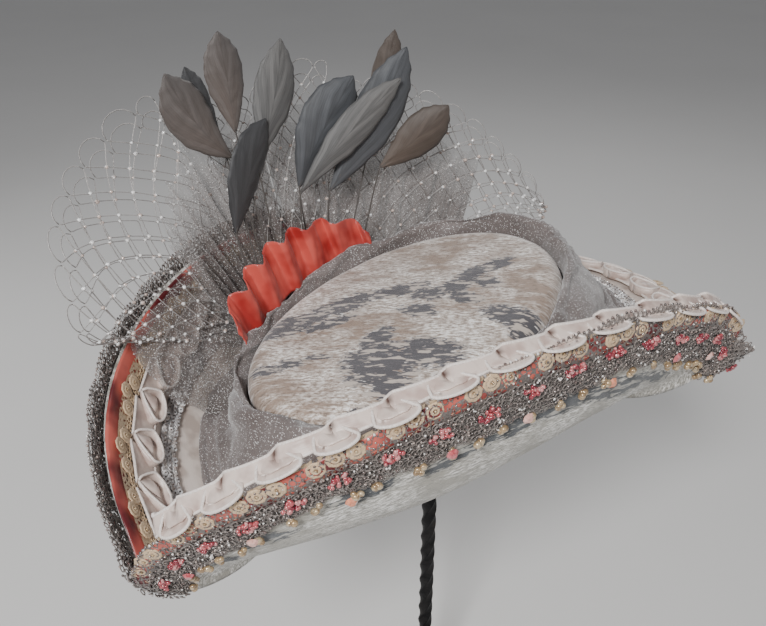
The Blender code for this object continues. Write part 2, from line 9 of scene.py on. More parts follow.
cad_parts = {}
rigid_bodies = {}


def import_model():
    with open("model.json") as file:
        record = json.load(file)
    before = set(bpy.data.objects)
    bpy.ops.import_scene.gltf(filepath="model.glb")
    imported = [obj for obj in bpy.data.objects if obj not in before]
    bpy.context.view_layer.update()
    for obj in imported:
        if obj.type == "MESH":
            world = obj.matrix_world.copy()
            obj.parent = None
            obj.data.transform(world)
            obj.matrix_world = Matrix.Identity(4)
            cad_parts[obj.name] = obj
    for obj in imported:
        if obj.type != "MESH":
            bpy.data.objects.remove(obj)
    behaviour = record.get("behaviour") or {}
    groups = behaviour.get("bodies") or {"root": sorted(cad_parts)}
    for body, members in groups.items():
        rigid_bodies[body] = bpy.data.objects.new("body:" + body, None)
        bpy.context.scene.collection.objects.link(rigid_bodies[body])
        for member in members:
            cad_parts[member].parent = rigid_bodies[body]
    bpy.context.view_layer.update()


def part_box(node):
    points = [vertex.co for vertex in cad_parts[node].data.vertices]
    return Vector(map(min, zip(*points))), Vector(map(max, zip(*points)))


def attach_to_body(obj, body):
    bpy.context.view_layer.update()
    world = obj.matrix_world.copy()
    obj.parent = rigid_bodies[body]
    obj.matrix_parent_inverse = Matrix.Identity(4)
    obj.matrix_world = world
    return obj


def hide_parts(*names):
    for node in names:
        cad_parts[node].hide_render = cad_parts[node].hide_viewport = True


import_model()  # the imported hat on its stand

# The hat's own frame: x to the front point, y to the wearer's left, z up the crown
hat = {
    "openingCentre": (-0.0085, -0.0075, 0.315), "frontYawDeg": -90.0,
    "leanDeg": 11.3, "leanTowardsDeg": -138.8,
}
crownSize = {
    "halfLength": 0.1065, "halfWidth": 0.0782, "shift": (-0.0085, 0.0), "yawDeg": -3.8,
    "height": 0.0588, "shoulder": 0.012, "flare": 0.0037, "wall": 0.0025, "dome": 0.0016,
}
brimSize = {"width": 0.1068, "wall": 0.0026, "pointRootSlope": -34.3, "pointEdgeSlope": 62.3}
flaps = {
    "left": {
        "first": 0.0, "last": 123.3, "rootSlope": 33.6, "edgeSlope": 88.7, "middleWidth": 0.1068,
        "sharpness": 0.53, "cloth": 0.1030, "seed": 3,
        "laceLow": (0.080, 0.086, 0.0940, 0.0870, 0.0865, 0.0915, 0.0820, 0.078),
        "laceHigh": (0.110, 0.1080, 0.1060, 0.1075, 0.1105, 0.1150, 0.1105, 0.107), "laceDensity": 1.0,
        "coral": (0.1015, 0.1122), "coralSide": -1.0, "coralArch": 0.0004,
        "daisies": 0.1088, "daisyOut": 0.0010, "daisyLift": -0.0025,
        "ruffle": {"shut": (0.118, 0.1200, 0.1205, 0.1185, 0.1170, 0.1165, 0.1150, 0.114),
                   "open": (0.1120, 0.1145, 0.1170, 0.1150, 0.1140, 0.1150, 0.1120, 0.110),
                   "shutLift": 0.0090, "openLift": 0.0004, "peak": 0.0034, "start": 0.095, "mouth": 0.55,
                   "loops": 13, "height": 0.0062, "side": -1.0, "slit": 0.10, "notch": 0.46},
        "braid": (0.0502, 0.0604),
    },
    "back": {
        "first": 123.3, "last": 236.7, "rootSlope": 8.0, "edgeSlope": -30.0, "middleWidth": 0.0870,
        "sharpness": 0.40, "cloth": 0.0985, "seed": 5,
        "laceLow": 0.0850, "laceHigh": 0.1080, "laceDensity": 0.72, "coral": (0.0835, 0.0985),
        "coralSide": 1.0, "coralArch": 0.0030, "daisies": 0.0950, "daisyOut": 0.0042, "daisyLift": 0.0050,
        "ruffle": {"shut": 0.0905, "open": 0.0690, "shutLift": 0.0026, "openLift": 0.0026, "peak": 0.0022,
                   "start": 0.03, "mouth": 0.05, "loops": 12, "height": 0.0065, "side": 1.0, "slit": 0.40,
                   "notch": 0.05},
        "braid": (0.0500, 0.0612),
    },
    "right": {
        "first": 236.7, "last": 360.0, "rootSlope": 33.6, "edgeSlope": 88.7, "middleWidth": 0.1068,
        "sharpness": 0.53, "cloth": 0.1080, "seed": 7,
        "laceLow": 0.0900, "laceHigh": 0.1138, "laceDensity": 0.92, "coral": (0.0885, 0.1084),
        "coralSide": 1.0, "coralArch": 0.0018, "daisies": 0.0955, "daisyOut": 0.0042, "daisyLift": 0.0054,
        "ruffle": {"shut": 0.0892, "open": 0.0705, "shutLift": 0.0022, "openLift": 0.0022, "peak": 0.0022,
                   "start": 0.03, "mouth": 0.05, "loops": 12, "height": 0.0062, "side": 1.0, "slit": 0.45,
                   "notch": 0.05},
        "braid": (0.0555, 0.0661),
    },
}


def hatPlacement():
    towards = math.radians(hat["leanTowardsDeg"])
    axis = Vector((-math.sin(towards), math.cos(towards), 0.0))
    lean = Matrix.Rotation(math.radians(hat["leanDeg"]), 4, axis)
    yaw = Matrix.Rotation(math.radians(hat["frontYawDeg"]), 4, "Z")
    return Matrix.Translation(hat["openingCentre"]) @ lean @ yaw


hatPlace = hatPlacement()


# Lines and surfaces of the hat

def mix(low, high, share):
    return low + (high - low) * share


def eased(share):
    return share * share * (3.0 - 2.0 * share)


def easeStep(low, high, value):
    return eased(min(max((value - low) / (high - low), 0.0), 1.0))


def waver(x, y=0.0, z=0.0):
    return noise.noise(Vector((x, y, z)))


def polar(angle, radius, height):
    turn = math.radians(angle)
    return Vector((radius * math.cos(turn), radius * math.sin(turn), height))


def lineLengths(line):
    lengths = [0.0]
    for one, two in zip(line, line[1:]):
        lengths.append(lengths[-1] + (two - one).length)
    return lengths


def smoothLine(points, share):
    points = [Vector(point) for point in points]
    place = share * (len(points) - 1)
    i = min(int(place), len(points) - 2)
    t = place - i
    a, b, c, d = (points[max(min(j, len(points) - 1), 0)] for j in (i - 1, i, i + 1, i + 2))
    return 0.5 * (2 * b + (c - a) * t + (2 * a - 5 * b + 4 * c - d) * t**2 + (3 * b - a - 3 * c + d) * t**3)


def crownRadius(angle, grow=0.0):
    yaw = math.radians(crownSize["yawDeg"])
    long, wide = crownSize["halfLength"] + grow, crownSize["halfWidth"] + grow
    cosine, sine = math.cos(math.radians(angle) - yaw), math.sin(math.radians(angle) - yaw)
    shift = Matrix.Rotation(-yaw, 2) @ Vector(crownSize["shift"])
    square = (cosine / long) ** 2 + (sine / wide) ** 2
    middle = -2.0 * (cosine * shift.x / long**2 + sine * shift.y / wide**2)
    rest = (shift.x / long) ** 2 + (shift.y / wide) ** 2 - 1.0
    return (-middle + math.sqrt(middle**2 - 4.0 * square * rest)) / (2.0 * square)


def roundCrown(values, angle):
    # a measure set in equal steps right round the crown
    place = (angle % 360.0) / (360.0 / len(values))
    i = int(place) % len(values)
    return mix(values[i], values[(i + 1) % len(values)], eased(place - int(place)))


def alongFlap(value, share):
    # a plain measure, or one set in equal steps along the flap
    if not isinstance(value, tuple):
        return value
    place = min(max(share, 0.0), 1.0) * (len(value) - 1)
    i = min(int(place), len(value) - 2)
    return mix(value[i], value[i + 1], eased(place - i))


def brimPoint(angle, reach, lift=0.0):
    flap = next(flap for flap in flaps.values() if angle % 360.0 <= flap["last"])
    share = (angle % 360.0 - flap["first"]) / (flap["last"] - flap["first"])
    fold = max(math.sin(math.pi * share), 0.0) ** flap["sharpness"]
    root = math.radians(mix(brimSize["pointRootSlope"], flap["rootSlope"], fold))
    edge = math.radians(mix(brimSize["pointEdgeSlope"], flap["edgeSlope"], fold))
    width = mix(brimSize["width"], flap["middleWidth"], fold)
    bend = (edge - root) / width
    slope = root + bend * reach * width / brimSize["width"]
    radius = crownRadius(angle, crownSize["flare"]) + (math.sin(slope) - math.sin(root)) / bend
    height = (math.cos(root) - math.cos(slope)) / bend
    return polar(angle, radius - math.sin(slope) * lift, height + math.cos(slope) * lift)


def flapAxes(angle, reach):
    # along the flap, towards its edge, and square to its inner face
    turn, step = 0.3, 0.0005
    around = brimPoint(angle + turn, reach) - brimPoint(angle - turn, reach)
    outwards = brimPoint(angle, reach + step) - brimPoint(angle, reach - step)
    inwards = outwards.cross(around).normalized()
    outwards.normalize()
    return outwards.cross(inwards), outwards, inwards


def onFlap(angle, reach, lift):
    return brimPoint(angle, reach) + flapAxes(angle, reach)[2] * lift


def flapAngles(flap, steps, reach=0.1, start=0.0, stop=None):
    # angles that part the line at this reach into equal lengths, between two shares of the whole
    fine = 300
    shares = [0.5 - 0.5 * math.cos(math.pi * i / fine) for i in range(fine + 1)]
    angles = [min(mix(flap["first"], flap["last"], share), 359.9999) for share in shares]
    lengths = lineLengths([brimPoint(angle, reach) for angle in angles])
    wanted = numpy.linspace(start, 1.0 - start if stop is None else stop, steps + 1) * lengths[-1]
    return [float(angle) for angle in numpy.interp(wanted, lengths, angles)]


def flapLength(flap, reach):
    return lineLengths([brimPoint(angle, reach) for angle in flapAngles(flap, 60, reach)])[-1]


def inTable(table, place):
    i = int(place)
    return mix(table[i], table[i + 1], place - i)


def gridOf(rowCount, columns, pointAt):
    # rows of points, each from its shares of the way down and along
    return [[pointAt(i / rowCount, j / columns) for j in range(columns + 1)] for i in range(rowCount + 1)]


def gridNormals(rows, closed):
    count = len(rows[0])
    normals = []
    for i, row in enumerate(rows):
        above, below = rows[max(i - 1, 0)], rows[min(i + 1, len(rows) - 1)]
        line = []
        for j in range(count):
            before, after = (j - 1, (j + 1) % count) if closed else (max(j - 1, 0), min(j + 1, count - 1))
            line.append((row[after] - row[before]).cross(below[j] - above[j]).normalized())
        normals.append(line)
    return normals


# Making pieces

def chooseOnly(*chosen):
    bpy.ops.object.select_all(action="DESELECT")
    for one in chosen:
        one.select_set(True)
    bpy.context.view_layer.objects.active = chosen[0]


def editAll():
    bpy.ops.object.mode_set(mode="EDIT")
    bpy.ops.mesh.select_all(action="SELECT")


def newPiece(name, points, faces, materials):
    mesh = bpy.data.meshes.new(name)
    mesh.from_pydata(points, [], faces)
    piece = bpy.data.objects.new(name, mesh)
    bpy.context.scene.collection.objects.link(piece)
    for material in materials:
        mesh.materials.append(material)
    mesh.shade_smooth()
    return piece


def gridPiece(name, rows, materials, closed=False, uv=None):
    # a surface through rows of points in the hat's frame, with its flat measure in metres as its UV map
    count = len(rows[0])
    span = count if closed else count - 1
    points = [hatPlace @ point for row in rows for point in row]
    corners, faces, flat = ((0, 0), (0, 1), (1, 1), (1, 0)), [], []
    if uv is None:
        middle = rows[len(rows) // 2]
        along = lineLengths(middle + middle[:1] if closed else middle)
        across = lineLengths([row[count // 2] for row in rows])
        uv = [[(x, y) for x in along] for y in across]
    for i in range(len(rows) - 1):
        for j in range(span):
            faces.append([(i + down) * count + (j + right) % count for down, right in corners])
            for down, right in corners:
                flat.extend(uv[i + down][j + right])
    piece = newPiece(name, points, faces, materials)
    piece.data.uv_layers.new(name="flat").data.foreach_set("uv", flat)
    return piece


def joinPieces(name, pieces):
    chooseOnly(*pieces)
    bpy.ops.object.join()
    pieces[0].name = pieces[0].data.name = name
    return pieces[0]


def addWall(piece, wall, offset=0.0, liningSlot=0):
    chooseOnly(piece)
    thicken = piece.modifiers.new("wall", "SOLIDIFY")
    thicken.thickness = wall
    thicken.offset = offset
    thicken.material_offset = liningSlot
    bpy.ops.object.modifier_apply(modifier=thicken.name)


def closeAndTurnOut(piece):
    chooseOnly(piece)
    editAll()
    bpy.ops.mesh.remove_doubles(threshold=0.00001)
    bpy.ops.mesh.normals_make_consistent(inside=False)
    bpy.ops.object.mode_set(mode="OBJECT")


def pointValues(piece, name, values):
    piece.data.attributes.new(name, "FLOAT", "POINT").data.foreach_set("value", values)


def addTube(store, line, radius, sides=3):
    # one thread round a line of points
    count, first = len(line), len(store["points"])
    for i, point in enumerate(line):
        along = (line[min(i + 1, count - 1)] - line[max(i - 1, 0)]).normalized()
        across = along.orthogonal() if i == 0 else across - along * across.dot(along)
        across.normalize()
        other = along.cross(across)
        for side in range(sides):
            turn = 2.0 * math.pi * side / sides
            store["points"].append(point + (across * math.cos(turn) + other * math.sin(turn)) * radius)
    for i in range(count - 1):
        one, two = first + i * sides, first + (i + 1) * sides
        for side in range(sides):
            after = (side + 1) % sides
            store["faces"].append((one + side, one + after, two + after, two + side))
    last = first + (count - 1) * sides
    store["faces"].append(tuple(first + side for side in reversed(range(sides))))
    store["faces"].append(tuple(last + side for side in range(sides)))


def tubePiece(name, store, material):
    return newPiece(name, [hatPlace @ point for point in store["points"]], store["faces"], [material])


def stampPiece(name, groups, materials):
    # many small copies in one mesh; each group is a template, its placements and its material's number
    points, faces, kinds, start = [], [], [], 0
    for (templatePoints, templateFaces), places, kind in groups:
        turns = numpy.array([(hatPlace @ place)[:] for place in places], dtype=float).reshape(-1, 4, 4)
        made = numpy.einsum("kij,nj->kni", turns[:, :3, :3], templatePoints) + turns[:, None, :3, 3]
        count = len(templatePoints)
        numbers = templateFaces[None] + (start + numpy.arange(len(places)) * count)[:, None, None]
        points.append(made.reshape(-1, 3))
        faces.append(numbers.reshape(-1, 3))
        kinds += [kind] * (len(places) * len(templateFaces))
        start += len(places) * count
    piece = newPiece(name, numpy.concatenate(points).tolist(), numpy.concatenate(faces).tolist(), materials)
    piece.data.polygons.foreach_set("material_index", kinds)
    return piece


def placing(point, axes, size, turn=0.0):
    # a placement at a point: the template's x, y and z along the three axes
    size = size if isinstance(size, tuple) else (size, size, size)
    spun = Matrix(axes).transposed().to_4x4() @ Matrix.Rotation(turn, 4, "Z")
    return Matrix.Translation(point) @ spun @ Matrix.Diagonal((*size, 1.0))


def settle(piece, slotName, *nodes):
    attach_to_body(piece, "root")
    if nodes:
        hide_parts(*nodes)
    return piece


def sheetFacts(grids):
    # flat width, length and area of the cloth, from the lengths of its threads
    width = 0.0
    for rows in grids:
        width += max(lineLengths([row[j] for row in rows])[-1] for j in range(0, len(rows[0]), 5))
    length = max(lineLengths(row)[-1] for rows in grids for row in rows)
    area = 0.0
    for rows in grids:
        for above, below in zip(rows, rows[1:]):
            for j in range(len(above) - 1):
                area += (above[j + 1] - below[j]).cross(above[j] - below[j + 1]).length / 2.0
    return (round(width, 4), round(length, 4)), area


def declareSheet(piece, facts, held, restsOn, **others):
    flat, area = facts
    area = min(area, flat[0] * flat[1])
    print(f"sheet {piece.name}: {flat[0] * 1000:.0f} x {flat[1] * 1000:.0f} mm, {area * 10000:.0f} cm2")


# Small shapes, each modelled once

def takeTemplate():
    # reads the small shape just modelled as triangles and clears it away
    shape = bpy.context.object
    editAll()
    bpy.ops.mesh.normals_make_consistent(inside=False)
    bpy.ops.mesh.quads_convert_to_tris()
    bpy.ops.object.mode_set(mode="OBJECT")
    points = numpy.array([vertex.co[:] for vertex in shape.data.vertices])
    faces = numpy.array([face.vertices[:] for face in shape.data.polygons])
    bpy.data.objects.remove(shape, do_unlink=True)
    return points, faces


def makeSmall(addShape, stretch, **measures):
    bpy.ops.object.select_all(action="DESELECT")
    addShape(**measures)
    editAll()
    bpy.ops.transform.resize(value=stretch)
    bpy.ops.object.mode_set(mode="OBJECT")
    return takeTemplate()


def makeDisc(sides, insets):
    # a thin disc whose upper face is inset by each thickness and depth in turn
    bpy.ops.object.select_all(action="DESELECT")
    bpy.ops.mesh.primitive_cylinder_add(vertices=sides, radius=1.0, depth=0.16)
    shape = bpy.context.object
    bpy.ops.object.mode_set(mode="EDIT")
    bpy.ops.mesh.select_mode(type="FACE")
    for thickness, depth in insets:
        bpy.ops.object.mode_set(mode="OBJECT")
        top = max(shape.data.polygons, key=lambda face: (len(face.vertices) > 4) * (2.0 + face.normal.z))
        for part in (*shape.data.vertices, *shape.data.edges, *shape.data.polygons):
            part.select = False
        top.select = True
        bpy.ops.object.mode_set(mode="EDIT")
        bpy.ops.mesh.inset(thickness=thickness, depth=depth)
    bpy.ops.object.mode_set(mode="OBJECT")
    return shape


def makeSequin():
    makeDisc(6, ((0.35, -0.10),))
    return takeTemplate()


def makeFlower():
    # eight lace petals round a ring and a bead
    petals, petalDip, petalFoot = 8, 0.22, 0.7
    shape = makeDisc(24, ((0.16, 0.12), (0.30, -0.22), (0.12, 0.26), (0.14, 0.02), (0.08, -0.20)))
    for vertex in shape.data.vertices:
        if math.hypot(vertex.co.x, vertex.co.y) > petalFoot:
            turn = math.atan2(vertex.co.y, vertex.co.x)
            dip = 1.0 - petalDip * (1.0 - abs(math.cos(petals / 2.0 * turn))) ** 1.5
            vertex.co.x *= dip
            vertex.co.y *= dip
    return takeTemplate()


print("small shapes")
shapes = bpy.ops.mesh
seedBead = makeSmall(shapes.primitive_ico_sphere_add, (1.0, 1.0, 0.86), subdivisions=1, radius=1.0)
pearlBead = makeSmall(shapes.primitive_ico_sphere_add, (1.0, 1.0, 0.86), subdivisions=2, radius=1.0)
threadLoop = makeSmall(shapes.primitive_torus_add, (0.85, 1.1, 1.0),
                       major_segments=6, minor_segments=3, major_radius=1.0, minor_radius=0.22)
sequin = makeSequin()
flower = makeFlower()
speck = makeSmall(shapes.primitive_cone_add, (1.0, 0.8, 1.0), vertices=4, radius1=1.0, radius2=0.0, depth=0.5)


# Shader helpers: each adds its node beside the socket or node that it is given first

def plug(socket, value):
    if isinstance(value, bpy.types.NodeSocket):
        socket.id_data.links.new(value, socket)
    else:
        socket.default_value = value


def addNode(beside, kind, settings=None, **values):
    made = beside.id_data.nodes.new("ShaderNode" + kind)
    for key, value in (settings or {}).items():
        setattr(made, key, value)
    for key, value in values.items():
        plug(made.inputs[int(key[1:]) if key[1:].isdigit() else key.replace("_", " ")], value)
    return made


def calc(operation, *values):
    inputs = {f"i{i}": value for i, value in enumerate(values)}
    return addNode(values[0], "Math", {"operation": operation}, **inputs).outputs[0]


def times(first, second):
    return calc("MULTIPLY", first, second)


def plus(first, second):
    return calc("ADD", first, second)


def below(value, limit):
    return calc("LESS_THAN", value, limit)


def mixColours(factor, first, second):
    first, second = ((*c, 1.0) if isinstance(c, tuple) else c for c in (first, second))
    return addNode(factor, "Mix", {"data_type": "RGBA"}, i0=factor, i6=first, i7=second).outputs[2]


def toned(colour, factor):
    return tuple(min(c * factor, 1.0) for c in colour)


def spread(value, low, high, newLow=0.0, newHigh=1.0):
    return addNode(value, "MapRange", i0=value, i1=low, i2=high, i3=newLow, i4=newHigh).outputs[0]


def stretched(coordinates, scale, turnDeg=0.0):
    values = {"Vector": coordinates, "Scale": scale, "Rotation": (0.0, 0.0, math.radians(turnDeg))}
    return addNode(coordinates, "Mapping", **values).outputs[0]


def noiseOf(coordinates, scale, detail=2.0, rough=0.5):
    values = {"Vector": coordinates, "Scale": scale, "Detail": detail, "Roughness": rough}
    return addNode(coordinates, "TexNoise", **values).outputs[0]


def cellsOf(coordinates, scale, settings=None, **values):
    return addNode(coordinates, "TexVoronoi", settings, Vector=coordinates, Scale=scale, **values).outputs


def colourParts(colour):
    return addNode(colour, "SeparateColor", Color=colour).outputs


def vectorParts(vector):
    return addNode(vector, "SeparateXYZ", Vector=vector).outputs


def bumpOf(height, strength, distance):
    return addNode(height, "Bump", Height=height, Strength=strength, Distance=distance).outputs[0]


def attach(shader, **values):
    for key, value in values.items():
        plug(shader.inputs[key.replace("_", " ")], value)


def startMaterial(name, **values):
    material = bpy.data.materials.new(name)
    material.use_nodes = True
    shader = material.node_tree.nodes["Principled BSDF"]
    attach(shader, **values)
    return material, shader


def placeOf(shader):
    return addNode(shader, "TexCoord").outputs["Object"]


def flatOf(shader):
    return addNode(shader, "UVMap", {"uv_map": "flat"}).outputs[0]


def attributeOf(shader, name):
    return addNode(shader, "Attribute", {"attribute_name": name}).outputs["Fac"]


def startGroup(name, inputs, outputs):
    tree = bpy.data.node_groups.new(name, "ShaderNodeTree")
    for titles, way in ((inputs, "INPUT"), (outputs, "OUTPUT")):
        for title in titles:
            kind = "NodeSocketVector" if title == "Coordinates" else "NodeSocketFloat"
            tree.interface.new_socket(title, in_out=way, socket_type=kind)
    return tree, tree.nodes.new("NodeGroupInput").outputs, tree.nodes.new("NodeGroupOutput").inputs


def useGroup(group, coordinates, **values):
    made = coordinates.id_data.nodes.new("ShaderNodeGroup")
    made.node_tree = group
    for key, value in {"Coordinates": coordinates, **values}.items():
        plug(made.inputs[key], value)
    return made.outputs


def makeWeaveGroup():
    # fine threads both ways; the coordinates are in metres
    tree, start, end = startGroup("wovenThreads", ("Coordinates", "Threads"), ("Height",))
    parts = vectorParts(start["Coordinates"])
    waves = [calc("SINE", times(times(parts[axis], start["Threads"]), 6.2832)) for axis in ("X", "Y")]
    plug(end["Height"], spread(times(*waves), -1.0, 1.0))
    return tree


def makeGlitterGroup():
    # scattered bright chips, each with a shade of its own
    tree, start, end = startGroup("glitterChips", ("Coordinates", "Scale", "Amount"), ("Mask", "Shade"))
    cells = cellsOf(start["Coordinates"], start["Scale"])
    parts = colourParts(cells["Color"])
    plug(end["Mask"], times(below(parts[0], start["Amount"]), below(cells["Distance"], 0.38)))
    plug(end["Shade"], parts[1])
    return tree


def makePileGroup():
    # crushed velvet: short streaks that catch the light, over fine fibres
    tree, start, end = startGroup("crushedPile", ("Coordinates", "Streaks"), ("Light", "Fibres", "Ragged"))
    place = start["Coordinates"]
    streaky = stretched(place, (0.28, 1.0, 1.0))
    light = noiseOf(streaky, start["Streaks"], 6.0, 0.75)
    patches = noiseOf(place, 19.0, 3.0, 0.6)
    plug(end["Light"], spread(plus(times(light, 0.5), times(patches, 0.5)), 0.44, 0.60))
    plug(end["Fibres"], noiseOf(place, 2200.0, 2.0, 0.7))
    plug(end["Ragged"], noiseOf(streaky, 210.0, 3.0, 0.7))
    return tree


print("shared shader groups")
weaveGroup, glitterGroup, pileGroup = makeWeaveGroup(), makeGlitterGroup(), makePileGroup()


# Finishes

def makeVelvet(name, shadeColour, lightColour, pileColour, streakTurnDeg):
    material, shader = startMaterial(name, Sheen_Weight=0.45, Sheen_Roughness=0.4, Specular_IOR_Level=0.35)
    turned = stretched(flatOf(shader), (1.0, 1.0, 1.0), streakTurnDeg)
    pile = useGroup(pileGroup, turned, Streaks=150.0)
    ragged = times(calc("SUBTRACT", pile["Ragged"], 0.5), 1.5)
    burnt = spread(plus(attributeOf(shader, "pile"), ragged), 0.48, 0.52)
    ground = mixColours(pile["Light"], shadeColour, lightColour)
    # painted light: where the crushed pile's streaks are lit, bright flecks turn near-white as painted
    # glints; elsewhere dark flecks are painted shade
    glintAndShadeFlecks = noiseOf(stretched(turned, (0.35, 1.0, 1.0)), 720.0, 3.0, 0.7)
    bright = times(spread(glintAndShadeFlecks, 0.49, 0.56), spread(pile["Light"], 0.0, 0.8))
    ground = mixColours(bright, ground, (1.0, 0.97, 0.94))
    ground = mixColours(spread(glintAndShadeFlecks, 0.48, 0.38, 0.0, 0.8), ground, toned(shadeColour, 0.5))
    fibres = spread(pile["Fibres"], 0.3, 0.7, 0.75, 1.25)
    dashes = times(spread(pile["Ragged"], 0.54, 0.58), 0.8)
    pileShade = mixColours(fibres, toned(pileColour, 0.55), toned(pileColour, 1.35))
    pileShade = mixColours(dashes, pileShade, lightColour)
    height = plus(plus(times(burnt, 1.2), times(pile["Light"], 0.5)), times(pile["Fibres"], 0.35))
    attach(shader, Base_Color=mixColours(burnt, ground, pileShade), Normal=bumpOf(height, 0.55, 0.0012),
           Roughness=spread(burnt, 0.0, 1.0, 0.5, 0.85))
    return material


def makeSatin(name, colour, shadowColour, shadowFrom, shadowTo, roughness, cloudScale=55.0):
    material, shader = startMaterial(name, Roughness=roughness, Sheen_Weight=0.25, Sheen_Roughness=0.3)
    flat = flatOf(shader)
    weave = useGroup(weaveGroup, flat, Threads=1600.0)
    shade = spread(noiseOf(placeOf(shader), cloudScale), shadowFrom, shadowTo)
    base = mixColours(shade, colour, shadowColour)
    # painted shade: darkens the satin towards a deep shadow colour where the ruffle's notches, slits and
    # grooves lie in shade
    base = mixColours(attributeOf(shader, "hollowShade"), base, tuple(c * c * c * 0.5 for c in shadowColour))
    lines = noiseOf(stretched(flat, (1.0, 30.0, 1.0)), 60.0)
    height = plus(times(weave["Height"], 0.25), lines)
    attach(shader, Base_Color=base, Normal=bumpOf(height, 0.18, 0.0006))
    return material


def makeTulle(name, colour, paleColour, alpha, chipScale, chipAmount):
    material, shader = startMaterial(name, Sheen_Weight=0.4, Sheen_Roughness=0.5)
    place = placeOf(shader)
    clouds = spread(noiseOf(place, 26.0, 4.0, 0.6), 0.35, 0.65)
    glitter = useGroup(glitterGroup, place, Scale=chipScale, Amount=chipAmount)
    mask, mesh = glitter["Mask"], noiseOf(place, 1500.0, 1.0)
    ground = mixColours(clouds, colour, paleColour)
    ground = mixColours(spread(mesh, 0.35, 0.65, 0.0, 0.45), ground, toned(colour, 0.45))
    # the glitter chips are real, but their flat near-white colour on an unmetallic surface is a painted glint
    # that shows whatever the light
    paintedGlintColour = mixColours(glitter["Shade"], (0.55, 0.53, 0.52), (1.0, 1.0, 1.0))
    attach(shader, Base_Color=mixColours(mask, ground, paintedGlintColour), Roughness=spread(mask, 0.0, 1.0, 0.65, 0.2),
           Normal=bumpOf(plus(mask, mesh), 0.35, 0.0008))
    if alpha < 1.0:
        # thinner towards its open edge; the UV map's y runs from root to edge
        cover = spread(noiseOf(place, 38.0, 4.0, 0.6), 0.3, 0.7, alpha - 0.14, alpha + 0.16)
        cover = plus(cover, spread(mesh, 0.4, 0.6, -0.12, 0.12))
        height = vectorParts(flatOf(shader))["Y"]
        thin = times(cover, spread(height, 0.55, 1.0, 1.0, 0.35))
        chips = times(mask, spread(height, 0.5, 1.0, 1.0, 0.4))
        attach(shader, Alpha=calc("MAXIMUM", thin, chips))
    return material


def makeBeadFinish(name, colours, roughness, metallic, scale=420.0):
    # each bead takes one of the colours by where it lies
    material, shader = startMaterial(name, Metallic=metallic, Coat_Weight=0.7)
    pick = colourParts(cellsOf(placeOf(shader), scale)["Color"])[0]
    ramp = addNode(shader, "ValToRGB", i0=pick)
    ramp.color_ramp.interpolation = "CONSTANT"
    stops = ramp.color_ramp.elements
    for i, colour in enumerate(colours):
        stop = stops[0] if i == 0 else stops.new(i / len(colours))
        stop.color = (*colour, 1.0)
    stops[-1].color = (*colours[-1], 1.0)
    rough = spread(noiseOf(placeOf(shader), 900.0), 0.3, 0.7, roughness * 0.7, roughness * 1.9)
    attach(shader, Base_Color=ramp.outputs[0], Roughness=rough)
    return material


def makeThread(name, colour, otherColour, metallic, meshWalls=0.0):
    material, shader = startMaterial(name, Roughness=0.45, Metallic=metallic, Sheen_Weight=0.2)
    twist = noiseOf(placeOf(shader), 1400.0)
    base = mixColours(spread(twist, 0.35, 0.65), colour, otherColour)
    attach(shader, Base_Color=base, Normal=bumpOf(twist, 0.5, 0.0005))
    if meshWalls > 0.0:
        cells = cellsOf(flatOf(shader), 330.0, {"feature": "DISTANCE_TO_EDGE"}, Randomness=0.8)
        attach(shader, Alpha=below(cells["Distance"], meshWalls))
    return material


def makeFeatherFinish(name, colour, tipColour):
    # barbs slant from the rachis; UV x runs across the vane and y along it
    material, shader = startMaterial(name, Roughness=0.55, Sheen_Weight=0.12)
    parts = vectorParts(flatOf(shader))
    side = calc("ABSOLUTE", parts["X"])
    slant = calc("SUBTRACT", times(parts["Y"], 2.4), times(side, 2.0))
    barbs = addNode(shader, "CombineXYZ", X=slant, Y=side).outputs[0]
    fine = noiseOf(stretched(barbs, (3.0, 0.6, 1.0)), 3.0, 4.0, 0.7)
    broadShading = noiseOf(stretched(barbs, (0.8, 0.4, 1.0)), 2.0)
    dark, pale = toned(colour, 0.40), toned(tipColour, 2.0)
    base = mixColours(parts["Y"], colour, tipColour)
    base = mixColours(spread(fine, 0.38, 0.62, 0.0, 0.55), base, dark)
    # painted shading: broad paler streaks across the vane stand in for light and shade falling on it
    base = mixColours(spread(broadShading, 0.42, 0.66, 0.0, 0.30), base, pale)
    base = mixColours(spread(side, 0.55, 1.0, 0.0, 0.45), base, dark)
    base = mixColours(times(below(side, 0.035), 0.3), base, dark)
    attach(shader, Base_Color=base, Normal=bumpOf(fine, 0.4, 0.0006))
    return material


def makeCrystalFinish(name, colour):
    material, shader = startMaterial(name, Roughness=0.03, Coat_Weight=1.0, Transmission_Weight=0.12, IOR=1.6)
    flaws = spread(noiseOf(placeOf(shader), 700.0), 0.3, 0.7)
    attach(shader, Base_Color=mixColours(flaws, colour, tuple(min(1.0, c * 1.5 + 0.1) for c in colour)))
    return material


def makeIron():
    material, shader = startMaterial("blackIron", Metallic=0.85)
    place = placeOf(shader)
    mottled = noiseOf(place, 120.0, 5.0, 0.65)
    rubbed = spread(noiseOf(place, 40.0, 4.0, 0.7), 0.60, 0.72)
    base = mixColours(spread(mottled, 0.4, 0.65), (0.012, 0.012, 0.013), (0.035, 0.033, 0.033))
    base = mixColours(rubbed, base, (0.075, 0.058, 0.048))
    attach(shader, Base_Color=base, Roughness=spread(mottled, 0.3, 0.7, 0.38, 0.62),
           Normal=bumpOf(mottled, 0.5, 0.0012))
    return material


